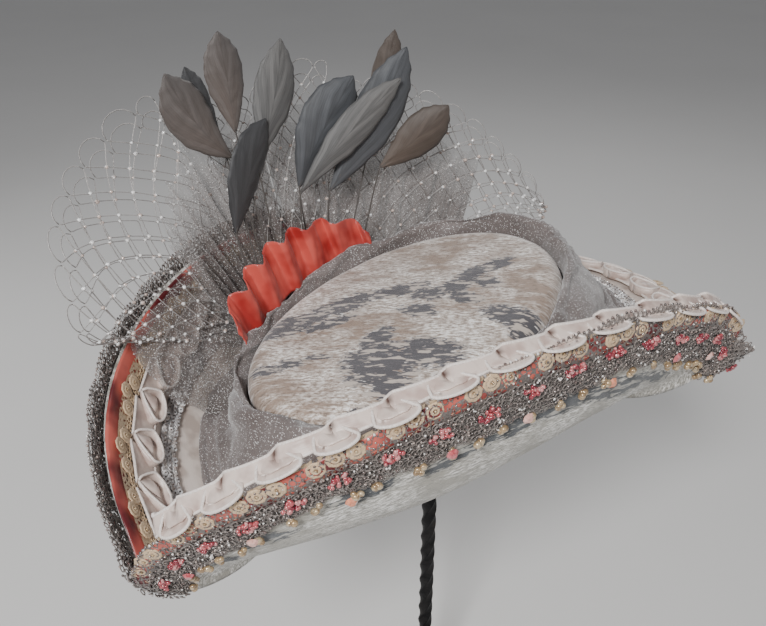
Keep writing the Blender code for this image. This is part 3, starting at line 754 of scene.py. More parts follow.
print("finishes")
crownVelvet = makeVelvet("crownVelvet", (0.34, 0.25, 0.195), (0.66, 0.57, 0.495), (0.066, 0.062, 0.068), 62)
brimVelvet = makeVelvet("brimVelvet", (0.36, 0.335, 0.28), (0.55, 0.525, 0.465), (0.040, 0.045, 0.050), 8)
crownInside = makeSatin("crownInside", (0.62, 0.55, 0.47), (0.50, 0.43, 0.36), 0.4, 0.6, 0.6)
ivorySatin = makeSatin("ivorySatin", (0.71, 0.595, 0.53), (0.50, 0.375, 0.33), 0.44, 0.66, 0.28, 120.0)
brimSatin = makeSatin("brimSatin", (0.84, 0.74, 0.67), (0.58, 0.48, 0.42), 0.44, 0.64, 0.26, 90.0)
coralSatin = makeSatin("coralSatin", (0.62, 0.098, 0.076), (0.36, 0.028, 0.024), 0.42, 0.66, 0.22)
ribbonSatin = makeSatin("coralRibbonSatin", (0.58, 0.125, 0.095), (0.12, 0.014, 0.018), 0.4, 0.6, 0.3, 42.0)
wrapTulle = makeTulle("wrapTulle", (0.13, 0.105, 0.098), (0.23, 0.195, 0.185), 1.0, 1500.0, 0.24)
fanTulle = makeTulle("fanTulle", (0.18, 0.150, 0.138), (0.30, 0.26, 0.245), 0.54, 1300.0, 0.15)
# painted light and shade: the near-white beads stand for glints and the darkest for beads in shade, mixed
# with the beads' own greys and taupes
silverBeads = makeBeadFinish("silverBeads", (
    (0.13, 0.108, 0.100), (0.30, 0.25, 0.235), (0.075, 0.062, 0.060), (0.85, 0.82, 0.79),
    (0.17, 0.125, 0.115), (0.10, 0.085, 0.08), (0.42, 0.34, 0.30),
), 0.16, 0.2)
pinkBeads = makeBeadFinish("pinkBeads", (
    (0.50, 0.10, 0.11), (0.60, 0.21, 0.21), (0.24, 0.028, 0.045), (0.68, 0.32, 0.31), (0.36, 0.06, 0.075),
), 0.16, 0.15)
goldPearls = makeBeadFinish("goldPearls", (
    (0.48, 0.34, 0.19), (0.60, 0.47, 0.30), (0.34, 0.23, 0.13),
), 0.18, 0.35)
silverSequins = makeBeadFinish("silverSequins", (
    (0.86, 0.85, 0.85), (0.98, 0.98, 0.98), (0.58, 0.55, 0.54), (0.80, 0.74, 0.70),
), 0.16, 0.15)
netKnots = makeBeadFinish("netKnots", (
    (0.85, 0.83, 0.81), (0.62, 0.50, 0.44), (0.95, 0.95, 0.95),
), 0.2, 0.1, 300.0)
glitterChips = makeBeadFinish("glitterSilver", (
    (0.9, 0.9, 0.9), (0.7, 0.68, 0.67), (0.95, 0.93, 0.9),
), 0.2, 0.1)
laceThread = makeThread("laceThread", (0.29, 0.250, 0.228), (0.16, 0.133, 0.120), 0.10)
laceGround = makeThread("laceGround", (0.19, 0.162, 0.148), (0.11, 0.092, 0.084), 0.10, 0.10)
daisyLace = makeThread("daisyLace", (0.74, 0.56, 0.36), (0.54, 0.37, 0.22), 0.0)
daisyGround = makeThread("daisyGround", (0.58, 0.44, 0.29), (0.38, 0.27, 0.16), 0.0, 0.17)
braidThread = makeThread("braidThread", (0.50, 0.47, 0.46), (0.30, 0.28, 0.28), 0.35)
netThread = makeThread("netThread", (0.50, 0.475, 0.46), (0.34, 0.315, 0.30), 0.15)
ivoryHem = makeThread("ivoryHem", (0.90, 0.83, 0.78), (0.74, 0.64, 0.58), 0.0)
quillHorn = makeThread("quillHorn", (0.10, 0.088, 0.080), (0.06, 0.053, 0.048), 0.0)
blackIron = makeIron()


# Stand: the turned foot and cap stay, the twisted bar is drawn anew with softened edges

stem = {"side": 0.0078, "corner": 0.0012, "quarterTwist": 0.014, "step": 0.002, "softBelowDeg": 30.0}


def makeStem():
    low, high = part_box("stand_stem")
    bottom, top = low[2], high[2]
    steps = round((top - bottom) / stem["step"])
    rise = (top - bottom) / steps
    twist = rise / stem["quarterTwist"] * math.pi / 2.0
    radius = stem["side"] * math.sqrt(0.5)
    bpy.ops.object.select_all(action="DESELECT")
    foot = (0.0, 0.0, bottom)
    bpy.ops.mesh.primitive_circle_add(vertices=4, radius=radius, fill_type="NGON", location=foot)
    bar = bpy.context.object
    bpy.ops.object.transform_apply(location=True, rotation=False, scale=False)
    editAll()
    bpy.ops.mesh.bevel(offset=stem["corner"], segments=2, affect="VERTICES")
    bpy.ops.mesh.select_all(action="SELECT")
    for _ in range(steps):
        bpy.ops.mesh.extrude_region_move(TRANSFORM_OT_translate={"value": (0.0, 0.0, rise)})
        bpy.ops.transform.rotate(value=-twist, orient_axis="Z", center_override=foot)
    bpy.ops.mesh.select_all(action="SELECT")
    bpy.ops.mesh.normals_make_consistent(inside=False)
    bpy.ops.object.mode_set(mode="OBJECT")
    bar.name = bar.data.name = "twistedStem"
    bar.data.materials.append(blackIron)
    chooseOnly(bar)
    bpy.ops.object.shade_smooth_by_angle(angle=math.radians(stem["softBelowDeg"]))
    settle(bar, "iron", "stand_stem")


print("stand")
makeStem()
for node in ("stand_foot", "stand_cap"):
    bpy.data.objects[node].material_slots[0].material = blackIron


# Velvet: where the burnt-out leaves of the pattern lie

crownLeaves = (
    # x, y, half length and half width in mm, and turn in degrees
    (36, -52, 25, 11, 147), (8, -38, 27, 10, 150), (-20, -16, 20, 7, 140), (26, -30, 16, 5, 150),
    (42, 24, 22, 20, 70), (22, 43, 20, 13, 105), (52, 41, 16, 11, 40), (26, 9, 13, 9, 10),
    (-8, 10, 13, 7, 100), (-24, 5, 12, 7, 120), (-38, 13, 11, 8, 150), (-30, 27, 11, 6, 100),
    (-54, 15, 15, 8, 165), (-70, 21, 13, 7, 150), (-50, 29, 9, 6, 90),
    (-26, 63, 20, 9, 95), (-18, 80, 14, 10, 80), (76, -31, 11, 5, 120), (65, -22, 8, 4, 100),
    (84, 36, 14, 4, 150), (99, 27, 11, 3, 150), (54, -12, 8, 3, 120),
)
brimLeaves = (
    # angle, reach in mm, half length in degrees, half width in mm, slope in mm a degree
    (35, 80, 6.0, 6.0, -0.3), (17, 77, 5.5, 6.0, -0.6), (8, 70, 3.0, 6.0, -1.0), (52, 74, 7.0, 5.0, 0.15),
    (66, 76, 8.0, 7.0, 0.1), (80, 78, 10.0, 9.0, -0.1), (94, 72, 11.0, 9.0, -0.4), (110, 64, 8.0, 6.0, -0.9),
    (148, 60, 8.0, 7.0, 0.5), (162, 38, 6.0, 10.0, 0.9), (181, 66, 9.0, 6.0, -0.3), (196, 44, 7.0, 8.0, 0.6),
    (214, 70, 8.0, 6.0, 0.4), (228, 50, 5.0, 8.0, -0.6), (250, 74, 9.0, 6.0, 0.5), (268, 60, 8.0, 9.0, -0.5),
    (286, 76, 9.0, 5.0, 0.4), (304, 58, 7.0, 9.0, 0.5), (322, 74, 8.0, 6.0, -0.4), (341, 62, 6.0, 8.0, 0.5),
)
crownShell = {"sides": 170, "sideRows": 10, "shoulderRows": 8, "topRows": 32, "ripple": 0.0005}
brimShell = {"stepsPerFlap": 110, "rows": 24, "start": 0.0010, "ripple": 0.0007, "pointCloth": 0.0985}


def crownField(x, y):
    # highest at the middle of a leaf, 0.5 at its edge
    field = 0.0
    for leafX, leafY, half, width, turnDeg in crownLeaves:
        turn = math.radians(turnDeg)
        along = (x - leafX) * math.cos(turn) + (y - leafY) * math.sin(turn)
        across = (y - leafY) * math.cos(turn) - (x - leafX) * math.sin(turn)
        field = max(field, 1.0 - math.hypot(along / half, across / width) * 0.5)
    return field


def brimField(angle, reach):
    field = 0.0
    for leafAngle, leafReach, half, width, slope in brimLeaves:
        along = (angle - leafAngle) / half
        across = (reach * 1000.0 - leafReach - slope * (angle - leafAngle)) / width
        field = max(field, 1.0 - 0.5 * math.hypot(along, across))
    return field


def makeCrown():
    shoulder = crownSize["shoulder"]
    sideTop = crownSize["height"] - shoulder
    angles = [360.0 * i / crownShell["sides"] for i in range(crownShell["sides"])]
    profile = []  # growth of the oval, height, and share of the way in to the middle
    for i in range(crownShell["sideRows"]):
        share = i / crownShell["sideRows"]
        profile.append((crownSize["flare"] * (1.0 - share), sideTop * share, 0.0))
    for i in range(crownShell["shoulderRows"] + 1):
        turn = math.pi / 2.0 * i / crownShell["shoulderRows"]
        profile.append((shoulder * (math.cos(turn) - 1.0), sideTop + shoulder * math.sin(turn), 0.0))
    for i in range(1, crownShell["topRows"] + 1):
        profile.append((-shoulder, crownSize["height"], i / crownShell["topRows"]))
    rows, values, uv = [], [], []
    centre = Vector((*crownSize["shift"], crownSize["height"]))
    for grow, height, inwards in profile:
        row = []
        for angle in angles:
            point = polar(angle, crownRadius(angle, grow), height).lerp(centre, inwards)
            ripple = crownShell["ripple"] * waver(point.x * 40, point.y * 40)
            point.z += crownSize["dome"] * (1.0 - (1.0 - inwards) ** 2) + ripple
            row.append(point)
            values.append(crownField(point.x * 1000.0, point.y * 1000.0) if height > sideTop else 0.0)
        rows.append(row)
        flat = [(point.x, point.y + max(sideTop - point.z, 0.0)) for point in row]
        uv.append(flat + flat[:1])
    shell = gridPiece("crownShell", rows, [crownVelvet, crownInside], closed=True, uv=uv)
    pointValues(shell, "pile", values)
    closeAndTurnOut(shell)
    addWall(shell, crownSize["wall"], -1.0, 1)
    settle(shell, "velvet", "crown")


def makeBrim():
    angles, edges = [], []
    for flap in flaps.values():
        for angle in flapAngles(flap, brimShell["stepsPerFlap"])[:-1]:
            share = (angle - flap["first"]) / (flap["last"] - flap["first"])
            angles.append(angle)
            edges.append(mix(brimShell["pointCloth"], flap["cloth"], math.sin(math.pi * share) ** 0.5))
    # out over the brim's underside, round its edge and back over its upper face
    half, rowCount = brimSize["wall"] / 2.0, brimShell["rows"]
    steps = [(i / rowCount, -half) for i in range(rowCount + 1)] + [(1.0, 0.0)]
    steps += [(1.0 - i / rowCount, half) for i in range(rowCount + 1)]
    steps.append(steps[0])
    along = lineLengths([brimPoint(angle, 0.08) for angle in angles + angles[:1]])
    rows, values, uv = [], [], []
    for share, lift in steps:
        row, flat = [], []
        for i, angle in enumerate(angles):
            reach = mix(brimShell["start"], edges[i], share) + (half * 0.8 if lift == 0.0 else 0.0)
            ripple = brimShell["ripple"] * waver(along[i] * 22.0, reach * 30.0, 3.0) * min(share * 3.0, 1.0)
            row.append(onFlap(angle, reach, lift + ripple))
            flat.append((along[i], reach))
            values.append(brimField(angle, reach))
        rows.append(row)
        uv.append(flat + [(along[-1], flat[0][1])])
    shell = gridPiece("brimShell", rows, [brimVelvet, brimSatin], closed=True, uv=uv)
    pointValues(shell, "pile", values)
    kinds = []
    for number in range(len(steps) - 1):
        kinds += [1 if rowCount + 1 < number < len(steps) - 2 else 0] * len(angles)
    shell.data.polygons.foreach_set("material_index", kinds)
    closeAndTurnOut(shell)
    settle(shell, "velvet", "brim")


print("crown and brim")
makeCrown()
makeBrim()


# Tulle scarf round the crown

wrap = {
    "spread": (0.041, 0.036, 0.040, 0.041, 0.040, 0.041), "top": (0.056, 0.052, 0.058, 0.064, 0.061, 0.055),
    "columns": 380, "rows": 38, "under": 0.0032, "edge": 0.0085, "fullness": 0.0195, "crest": 0.0065,
    "clear": 0.0012, "shoulder": 0.72, "tuck": 0.92, "foldDepth": 0.0019,
    "chips": 5400, "chipSize": (0.00022, 0.00050), "bareRows": 8,
}


def wrapPoint(angle, share):
    spreads = roundCrown(wrap["spread"], angle)
    sideTop = crownSize["height"] - crownSize["shoulder"]
    line = [
        polar(angle, crownRadius(angle, wrap["clear"]), sideTop),
        polar(angle, crownRadius(angle, wrap["crest"]), roundCrown(wrap["top"], angle)),
        brimPoint(angle, spreads * wrap["shoulder"], wrap["fullness"]),
        brimPoint(angle, spreads, wrap["edge"]),
        brimPoint(angle, spreads * wrap["tuck"], wrap["under"]),
    ]
    return smoothLine(line, share)


def onWrap(angle, share, lift):
    spreads = roundCrown(wrap["spread"], angle)
    shoulder = brimPoint(angle, spreads * wrap["shoulder"], wrap["fullness"])
    edge = brimPoint(angle, spreads, wrap["edge"])
    return shoulder.lerp(edge, share) + Vector((0.0, 0.0, lift))


def scatterChips(name, grids, count, sizes, seed):
    # glitter chips strewn over a cloth
    dice = random.Random(seed)
    places, cells, shares = [], [], []
    for rows in grids:
        for i in range(len(rows) - 1):
            for j in range(len(rows[0]) - 1):
                one, two, three = rows[i][j], rows[i][j + 1], rows[i + 1][j]
                cells.append((one, two - one, three - one))
                shares.append((two - one).cross(three - one).length)
    for corner, right, down in dice.choices(cells, shares, k=count):
        point = corner + right * dice.random() + down * dice.random()
        turnBy = dice.uniform(0.0, 6.28)
        axis = Vector((dice.uniform(-1, 1), dice.uniform(-1, 1), 1.0))
        turn = Matrix.Rotation(turnBy, 4, axis)
        places.append(Matrix.Translation(point) @ turn @ Matrix.Scale(dice.uniform(*sizes), 4))
    settle(stampPiece(name, [(speck, places, 0)], [glitterChips]), "tulle")


def makeWrap():
    columns, rowCount = wrap["columns"], wrap["rows"]
    base = gridOf(rowCount, columns, lambda share, around: wrapPoint(360.0 * around, share))
    base = [row[:-1] for row in base]
    normals, rows = gridNormals(base, True), []
    for i in range(rowCount + 1):
        share, row = i / rowCount, []
        depth = wrap["foldDepth"] * min(share * 5.0, 1.0, (1.0 - share) * 6.0)
        for j in range(columns):
            turn = 2.0 * math.pi * j / columns
            soft = waver(math.cos(turn) * 2.1, math.sin(turn) * 2.1, share * 2.0)
            phase = share * 30.0 + turn * 4.0 + 6.0 * soft
            fold = math.sin(phase) + 0.5 * math.sin(phase * 2.3 + turn * 4.0)
            fold = math.copysign(abs(fold) ** 0.7, fold)
            fine = waver(math.cos(turn) * 9.0 + share * 5.0, math.sin(turn) * 9.0, share * 14.0)
            row.append(base[i][j] - normals[i][j] * depth * (fold + 0.8 * fine + 1.1 * soft))
        rows.append(row)
    scarf = gridPiece("crownWrap", rows, [wrapTulle], closed=True)
    settle(scarf, "tulle", "crown_wrap")
    declareSheet(scarf, sheetFacts([rows]), "gathered", ["crown", "brim"])
    scatterChips("wrapGlitter", [rows[:-wrap["bareRows"]]], wrap["chips"], wrap["chipSize"], 11)


print("scarf")
makeWrap()


# Trims along the flaps

def bandGrid(flap, low, high, lift, size, margin, arch=0.0, scallop=None):
    # a band along a flap, its ends left free by the margin and its middle raised by the arch
    columns, rowCount = size
    angles = flapAngles(flap, columns, 0.1, margin)
    grid = []
    for i in range(rowCount + 1):
        across, row = i / rowCount, []
        raised = lift + arch * math.sin(math.pi * across) ** 0.7
        for j, angle in enumerate(angles):
            bottom = alongFlap(low, j / columns) + (scallop(j / columns) if scallop else 0.0)
            row.append(onFlap(angle, mix(bottom, alongFlap(high, j / columns), across), raised))
        grid.append(row)
    return grid


lace = {
    "lift": -0.0026, "size": (240, 8), "wall": 0.0005, "scallops": 13, "depth": 0.0036, "upperDepth": 0.8,
    "fine": 600, "ring": 0.00150, "ringStep": 0.0027, "rowStep": 0.0025, "nodeBeads": 0.8, "looseBeads": 950,
    "beadSize": (0.00045, 0.00080), "picot": (0.0012, 0.0018), "tipBead": 0.0008, "footLoop": 0.0013,
    "pearlSize": 0.00175, "pearls": 4, "bunch": 0.16, "clusterStep": 0.0235, "clusterHalf": (0.0058, 0.0030),
    "clusterBeads": 22, "clusterBead": (0.0009, 0.0014),
}


def laceScallop(share):
    return -lace["depth"] * abs(math.sin(math.pi * lace["scallops"] * share)) ** 0.6


def makeLace(name, flap):
    low, high, density = flap["laceLow"], flap["laceHigh"], flap["laceDensity"]
    grid = bandGrid(flap, low, high, lace["lift"], lace["size"], 0.002, scallop=laceScallop)
    ground = gridPiece(f"lace_{name}_ground", grid, [laceGround])
    addWall(ground, lace["wall"])
    dice = random.Random(flap["seed"])
    length = flapLength(flap, 0.1)
    table = flapAngles(flap, lace["fine"])
    beads, loops, pearls, pinks, rings = [], [], [], [], []

    def reachAt(share, across):
        # the lower border is scalloped, the upper one a little less
        bottom = alongFlap(low, share) + laceScallop(share)
        top = alongFlap(high, share) - laceScallop(share + 0.5 / lace["scallops"]) * lace["upperDepth"]
        return mix(bottom, top, across)

    def seat(share, reach, out, size, places, turn=0.0, tilt=0.0):
        angle = inTable(table, min(max(share, 0.0), 0.9999) * lace["fine"])
        axes = flapAxes(angle, reach)
        place = placing(brimPoint(angle, reach) + axes[2] * (lace["lift"] + out), axes, size, turn)
        places.append(place @ Matrix.Rotation(tilt, 4, "X") if tilt else place)

    cells = round(length * density / lace["ringStep"])
    rowCount = round((alongFlap(high, 0.5) - alongFlap(low, 0.5)) / lace["rowStep"])
    for row in range(rowCount):
        for i in range(cells):
            share = (i + 0.5 * (row % 2) + dice.uniform(-0.28, 0.28)) / cells
            reach = reachAt(share, (row + 0.5 + dice.uniform(-0.2, 0.2)) / rowCount)
            free = reach > flap["cloth"] - 0.0005
            out = (0.0006 if free else -0.0012) + dice.uniform(-0.0004, 0.0004)
            size = lace["ring"] * dice.uniform(0.78, 1.22) / density
            seat(share, reach, out, size, rings, dice.uniform(0.0, 6.283), dice.uniform(-0.4, 0.4))
            if dice.random() < lace["nodeBeads"]:
                seat(share + 0.5 / cells, reach, out - 0.0004, dice.uniform(*lace["beadSize"]), beads)
    threads = stampPiece(f"lace_{name}_threads", [(threadLoop, rings, 0)], [laceThread])
    for _ in range(round(lace["looseBeads"] * density)):
        share, across = dice.random(), dice.random()
        reach = reachAt(share, across)
        inside = reach > flap["cloth"] and dice.random() < 0.5
        out = dice.uniform(0.0006, 0.0018) if inside else -dice.uniform(0.001, 0.002)
        seat(share, reach, out, dice.uniform(*lace["beadSize"]), beads)
    for i in range(cells):
        # a picot with a bead at its tip above, and a plain loop below
        share = (i + 0.5) / cells
        size = dice.uniform(*lace["picot"])
        top = reachAt(share, 1.0)
        seat(share, top + size * 0.5, 0.0, size, loops, dice.uniform(-0.2, 0.2), dice.uniform(-0.4, 0.4))
        seat(share, top + size * 1.7, 0.0, lace["tipBead"], beads)
        foot = reachAt(share, 0.0) - 0.0006
        seat(share, foot, -0.0008, lace["footLoop"], loops, dice.uniform(-0.3, 0.3))
    clusters = round(length / lace["clusterStep"])
    for i in range(clusters):
        centre = (i + 0.5) / clusters
        middle = reachAt(centre, 0.50)
        for _ in range(lace["clusterBeads"]):
            turn, away = dice.uniform(0.0, 6.283), math.sqrt(dice.random())
            share = centre + away * math.cos(turn) * lace["clusterHalf"][0] / length
            reach = middle + away * math.sin(turn) * lace["clusterHalf"][1]
            seat(share, reach, -dice.uniform(0.0018, 0.0030), dice.uniform(*lace["clusterBead"]), pinks)
    bunches = 2 * lace["scallops"]
    for i in range(bunches):
        centre = i + 0.5 + dice.uniform(-0.2, 0.2)
        for _ in range(lace["pearls"]):
            share = (centre + dice.uniform(-1.0, 1.0) * lace["bunch"]) / bunches
            size = lace["pearlSize"] * dice.uniform(0.8, 1.2)
            reach = reachAt(share, 0.0) + dice.uniform(-0.0032, 0.0006)
            seat(share, reach, -dice.uniform(0.0016, 0.0030), size, pearls)
    groups = [(seedBead, beads, 0), (threadLoop, loops, 1), (seedBead, pinks, 2), (pearlBead, pearls, 3)]
    work = stampPiece(f"lace_{name}_beadwork", groups, [silverBeads, laceThread, pinkBeads, goldPearls])
    settle(work, "silver_lace", f"lace_{name}")
    settle(ground, "silver_lace")
    settle(threads, "silver_lace")
    declareSheet(ground, sheetFacts([grid]), "laid", ["brim"], with_pieces=[work, threads])


coral = {"lift": 0.0020, "size": (150, 12), "wall": 0.0005, "pucker": 0.0006}


def makeCoralRibbon(name, flap):
    lift, arch = coral["lift"] * flap["coralSide"], flap["coralArch"] * flap["coralSide"]
    grid = bandGrid(flap, *flap["coral"], lift, coral["size"], 0.006, arch)
    normals = gridNormals(grid, False)
    for i, row in enumerate(grid):
        for j, point in enumerate(row):
            pucker = waver(j * 0.21 + flap["seed"], i * 0.35) + 0.5 * waver(j * 0.6, i * 0.2, flap["seed"])
            point += normals[i][j] * coral["pucker"] * pucker * min(flap["coralArch"] / 0.002, 1.0)
    ribbon = gridPiece(f"coral_{name}_satin", grid, [ribbonSatin])
    addWall(ribbon, coral["wall"])
    settle(ribbon, "coral_satin", f"coral_ribbon_{name}")
    declareSheet(ribbon, sheetFacts([grid]), "laid", ["brim"])


daisies = {
    "size": 0.0046, "thick": 0.55, "step": 0.0090, "centre": 0.00075, "bandHalf": 0.0056,
    "bandSize": (160, 4), "edging": 0.0026, "edgingSize": 0.0014, "edgingAt": (-0.0046, -0.0026),
}


def makeDaisies(name, flap):
    reach, size, lift = flap["daisies"], daisies["size"], flap["daisyLift"]
    length, side = flapLength(flap, reach), math.copysign(1.0, lift)
    count = round(length * 0.97 / daisies["step"])
    angles = flapAngles(flap, count, reach, 0.015)
    dice = random.Random(flap["seed"] + 40)
    places, centres, edging = [], [], []
    for i in range(count):
        # three in a bow, then a space
        if i % 4 == 3:
            continue
        angle, out = mix(angles[i], angles[i + 1], 0.5), reach + (flap["daisyOut"] if i % 4 == 1 else 0.0)
        along, outwards, inwards = flapAxes(angle, out)
        inwards = inwards * side
        axes = (along * side, outwards, inwards)
        point = brimPoint(angle, out) + inwards * (abs(lift) + dice.uniform(-0.0002, 0.0003))
        places.append(placing(point, axes, (size, size, size * daisies["thick"]), dice.uniform(0.0, 3.0)))
        centres.append(placing(point + inwards * 0.0006, axes, daisies["centre"]))
    for angle in flapAngles(flap, round(length / daisies["edging"]), reach, 0.012):
        for step in daisies["edgingAt"]:
            axes = flapAxes(angle, reach)
            point = brimPoint(angle, reach + step) + axes[2] * lift * 0.95
            ringSize = daisies["edgingSize"] * dice.uniform(0.7, 1.1)
            edging.append(placing(point, axes, ringSize, dice.uniform(0.0, 3.0)))
    half = daisies["bandHalf"]
    grid = bandGrid(flap, reach - half, reach + half, lift * 0.86, daisies["bandSize"], 0.012)
    ground = gridPiece(f"daisy_{name}_ground", grid, [daisyGround])
    groups = [(flower, places, 0), (pearlBead, centres, 1), (threadLoop, edging, 0)]
    work = stampPiece(f"daisy_{name}_flowers", groups, [daisyLace, goldPearls])
    settle(work, "gold_lace", f"daisy_trim_{name}")
    settle(ground, "gold_lace")
    declareSheet(ground, sheetFacts([grid]), "laid", [f"coral_{name}_satin"], with_pieces=[work])


# Across half a loop of the ruffle, from its side over rim and groove to the fold beside the notch: place,
# height and how much painted shade darkens the satin in its recesses
loopHalf = (
    (1.00, 0.00, 0.5), (1.03, 0.60, 0.1), (1.00, 1.00, 0.0), (0.93, 0.94, 0.0), (0.85, 0.16, 0.5),
    (0.68, 0.62, 0.1), (0.40, 0.90, 0.0), (0.12, 0.88, 0.0), (0.05, 0.04, 1.0),
)
loopAcross = [(-x, z, dark) for x, z, dark in loopHalf] + list(reversed(loopHalf))
ruffle = {
    "rows": 16, "wall": 0.0004, "hem": 0.00078, "halfShare": 0.385, "reachOver": 0.05, "base": 0.0006,
    "panel": 0.0036, "pinch": 0.04, "notch": 0.11, "innerEdge": 0.85, "fine": 40, "stop": 0.97, "skew": 0.16,
    "baseRows": 10, "baseReach": 0.93, "baseShift": 0.45, "loopShift": 0.55, "notchShadeHalf": 0.09,
    "widest": 0.58, "slitHalf": 0.08, "rim": 0.97,
    "panelColumns": (0.0, 0.035, 0.07, 0.11, 0.24, 0.38, 0.50, 0.62, 0.76, 0.88, 0.93, 0.97),
}


def loopWidth(open, mouth):
    widest = ruffle["widest"]
    if open < widest:
        return mix(mouth, 1.0, (open / widest) ** 0.72)
    return math.sqrt(max(1.0 - ((open - widest) / (1.0 - widest)) ** 2, 0.0004))


def loopHeight(x, z, open):
    # the slit closes towards the mouth, where the folds sink and the rim runs round
    if abs(x) < ruffle["innerEdge"]:
        z = mix(z, 0.88, easeStep(0.38, 0.66, open)) if abs(x) < ruffle["slitHalf"] else z
        z *= mix(1.0, 0.45, easeStep(0.60, 0.84, open))
    return mix(z, 1.0, easeStep(0.88, 0.97, open)) if abs(x) < 1.0 else z


def makeRuffle(name, flap):
    size = flap["ruffle"]
    loops, side = size["loops"], size["side"]
    middle = (alongFlap(size["shut"], 0.5) + alongFlap(size["open"], 0.5)) / 2.0
    table = flapAngles(flap, loops * ruffle["fine"], middle, size["start"], ruffle["stop"])
    dice = random.Random(flap["seed"] + 80)

    def onRuffle(place, open, height, further=0.0):
        # place counts pleats along the flap, open runs from the pinched edge to the open one
        angle = inTable(table, min(max(place, 0.0), loops - 0.001) * ruffle["fine"])
        share = mix(size["start"], ruffle["stop"], place / loops)
        shut, wide = alongFlap(size["shut"], share), alongFlap(size["open"], share)
        lift = mix(size["shutLift"], size["openLift"], open) + side * height
        return onFlap(angle, mix(shut + further, wide, open), lift)

    # the flat of the ribbon: a panel between each two loops, with its peak beside the notch
    base, hollowShades = [], []
    for i in range(ruffle["baseRows"] + 1):
        open, row = i / ruffle["baseRows"], []
        for loop in range(loops + 1):
            for part in ruffle["panelColumns"] if loop < loops else (0.0,):
                away = min(part, 1.0 - part)
                notch = easeStep(0.0, ruffle["notch"] * max(1.0 - open / 0.7, 0.15), away)
                crown = 0.65 + 0.35 * math.sin(math.pi * part)
                height = ruffle["base"] + ruffle["panel"] * mix(1.0, 0.35, open) * notch * crown
                peak = size["peak"] * (1.0 - part) * notch if 0.0 < part else 0.0
                place = loop + part - ruffle["baseShift"]
                row.append(onRuffle(place, open * ruffle["baseReach"], height, peak))
                # painted shade in the notch between two panels, fading out towards the open edge
                dark = 1.0 - easeStep(0.0, ruffle["notchShadeHalf"], away)
                hollowShades.append(dark * (1.0 - easeStep(0.3, 0.6, open)))
        base.append(row)
    pieces, grids = [gridPiece(f"ruffle_{name}_base", base, [ivorySatin])], []
    pointValues(pieces[0], "hollowShade", hollowShades)
    store = {"points": [], "faces": []}
    addTube(store, base[0], ruffle["hem"], 5)
    addTube(store, base[-1], ruffle["hem"], 5)
    for loop in range(loops):
        centre = loop + ruffle["loopShift"] + dice.uniform(-0.02, 0.02)
        tall = size["height"] * dice.uniform(0.88, 1.10)
        half = ruffle["halfShare"] * dice.uniform(0.94, 1.06)
        skew = ruffle["skew"] * dice.uniform(0.7, 1.3)
        far = 1.0 + ruffle["reachOver"] * dice.uniform(0.4, 1.4)
        slit = size["slit"] + dice.uniform(-0.06, 0.06)
        rows, rims, hollowShades = [], ([], []), []
        for i in range(ruffle["rows"] + 1):
            open, row = 1.0 - (1.0 - i / ruffle["rows"]) ** 1.6, []
            width = half * loopWidth(open, size["mouth"])
            height = tall * mix(0.5, 1.0, min(open * 1.8, 1.0) ** 0.7)
            notch = mix(size["notch"], 0.0, easeStep(-0.3, 0.60, open))
            shift, across = skew * (open - 0.5), mix(ruffle["pinch"], far, open)
            for x, z, dark in loopAcross:
                inner = max(1.0 - abs(x) / ruffle["innerEdge"], 0.0)
                raised = ruffle["base"] + height * loopHeight(x, z, open)
                opened = x * (1.0 + notch * inner / max(abs(x), 0.05)) if abs(x) < 0.5 else x
                row.append(onRuffle(centre + shift + (opened + slit * inner) * width, across, raised))
                # painted shade in the loop's recesses: the slit's fades out by the middle, the grooves'
                # towards the mouth
                fadeFrom, fadeTo = (0.34, 0.60) if abs(x) < ruffle["slitHalf"] else (0.80, 0.94)
                hollowShades.append(dark * (1.0 - easeStep(fadeFrom, fadeTo, open)))
            rows.append(row)
            for rim, x in zip(rims, (-ruffle["rim"], ruffle["rim"])):
                rim.append(onRuffle(centre + shift + x * width, across, ruffle["base"] + height))
        pieces.append(gridPiece(f"ruffle_{name}_loop{loop}", rows, [ivorySatin]))
        pointValues(pieces[-1], "hollowShade", hollowShades)
        grids.append([[row[j] for row in rows] for j in range(len(loopAcross))])
        addTube(store, rims[0] + rims[1][::-1], ruffle["hem"], 5)
    satin = joinPieces(f"ruffle_{name}_satin", pieces)
    addWall(satin, ruffle["wall"])
    hem = tubePiece(f"ruffle_{name}_hem", store, ivoryHem)
    settle(satin, "ivory_satin", f"ruffle_{name}")
    settle(hem, "ivory_satin")
    # the loops take up the ribbon's length, so it was cut longer than the flap
    (width, _), area = sheetFacts([base])
    area += sum(sheetFacts([rows])[1] for rows in grids)
    facts = (width, round(area / width, 4)), area * 0.999
    declareSheet(satin, facts, "gathered", ["brim"], with_pieces=[hem])


braid = {
    "lift": 0.0022, "size": (150, 4), "arch": 0.0006, "wall": 0.0005, "margin": 0.02,
    "sequinSize": 0.0021, "step": 0.0026, "lines": 3, "bead": 0.0006, "tilt": 0.45,
}


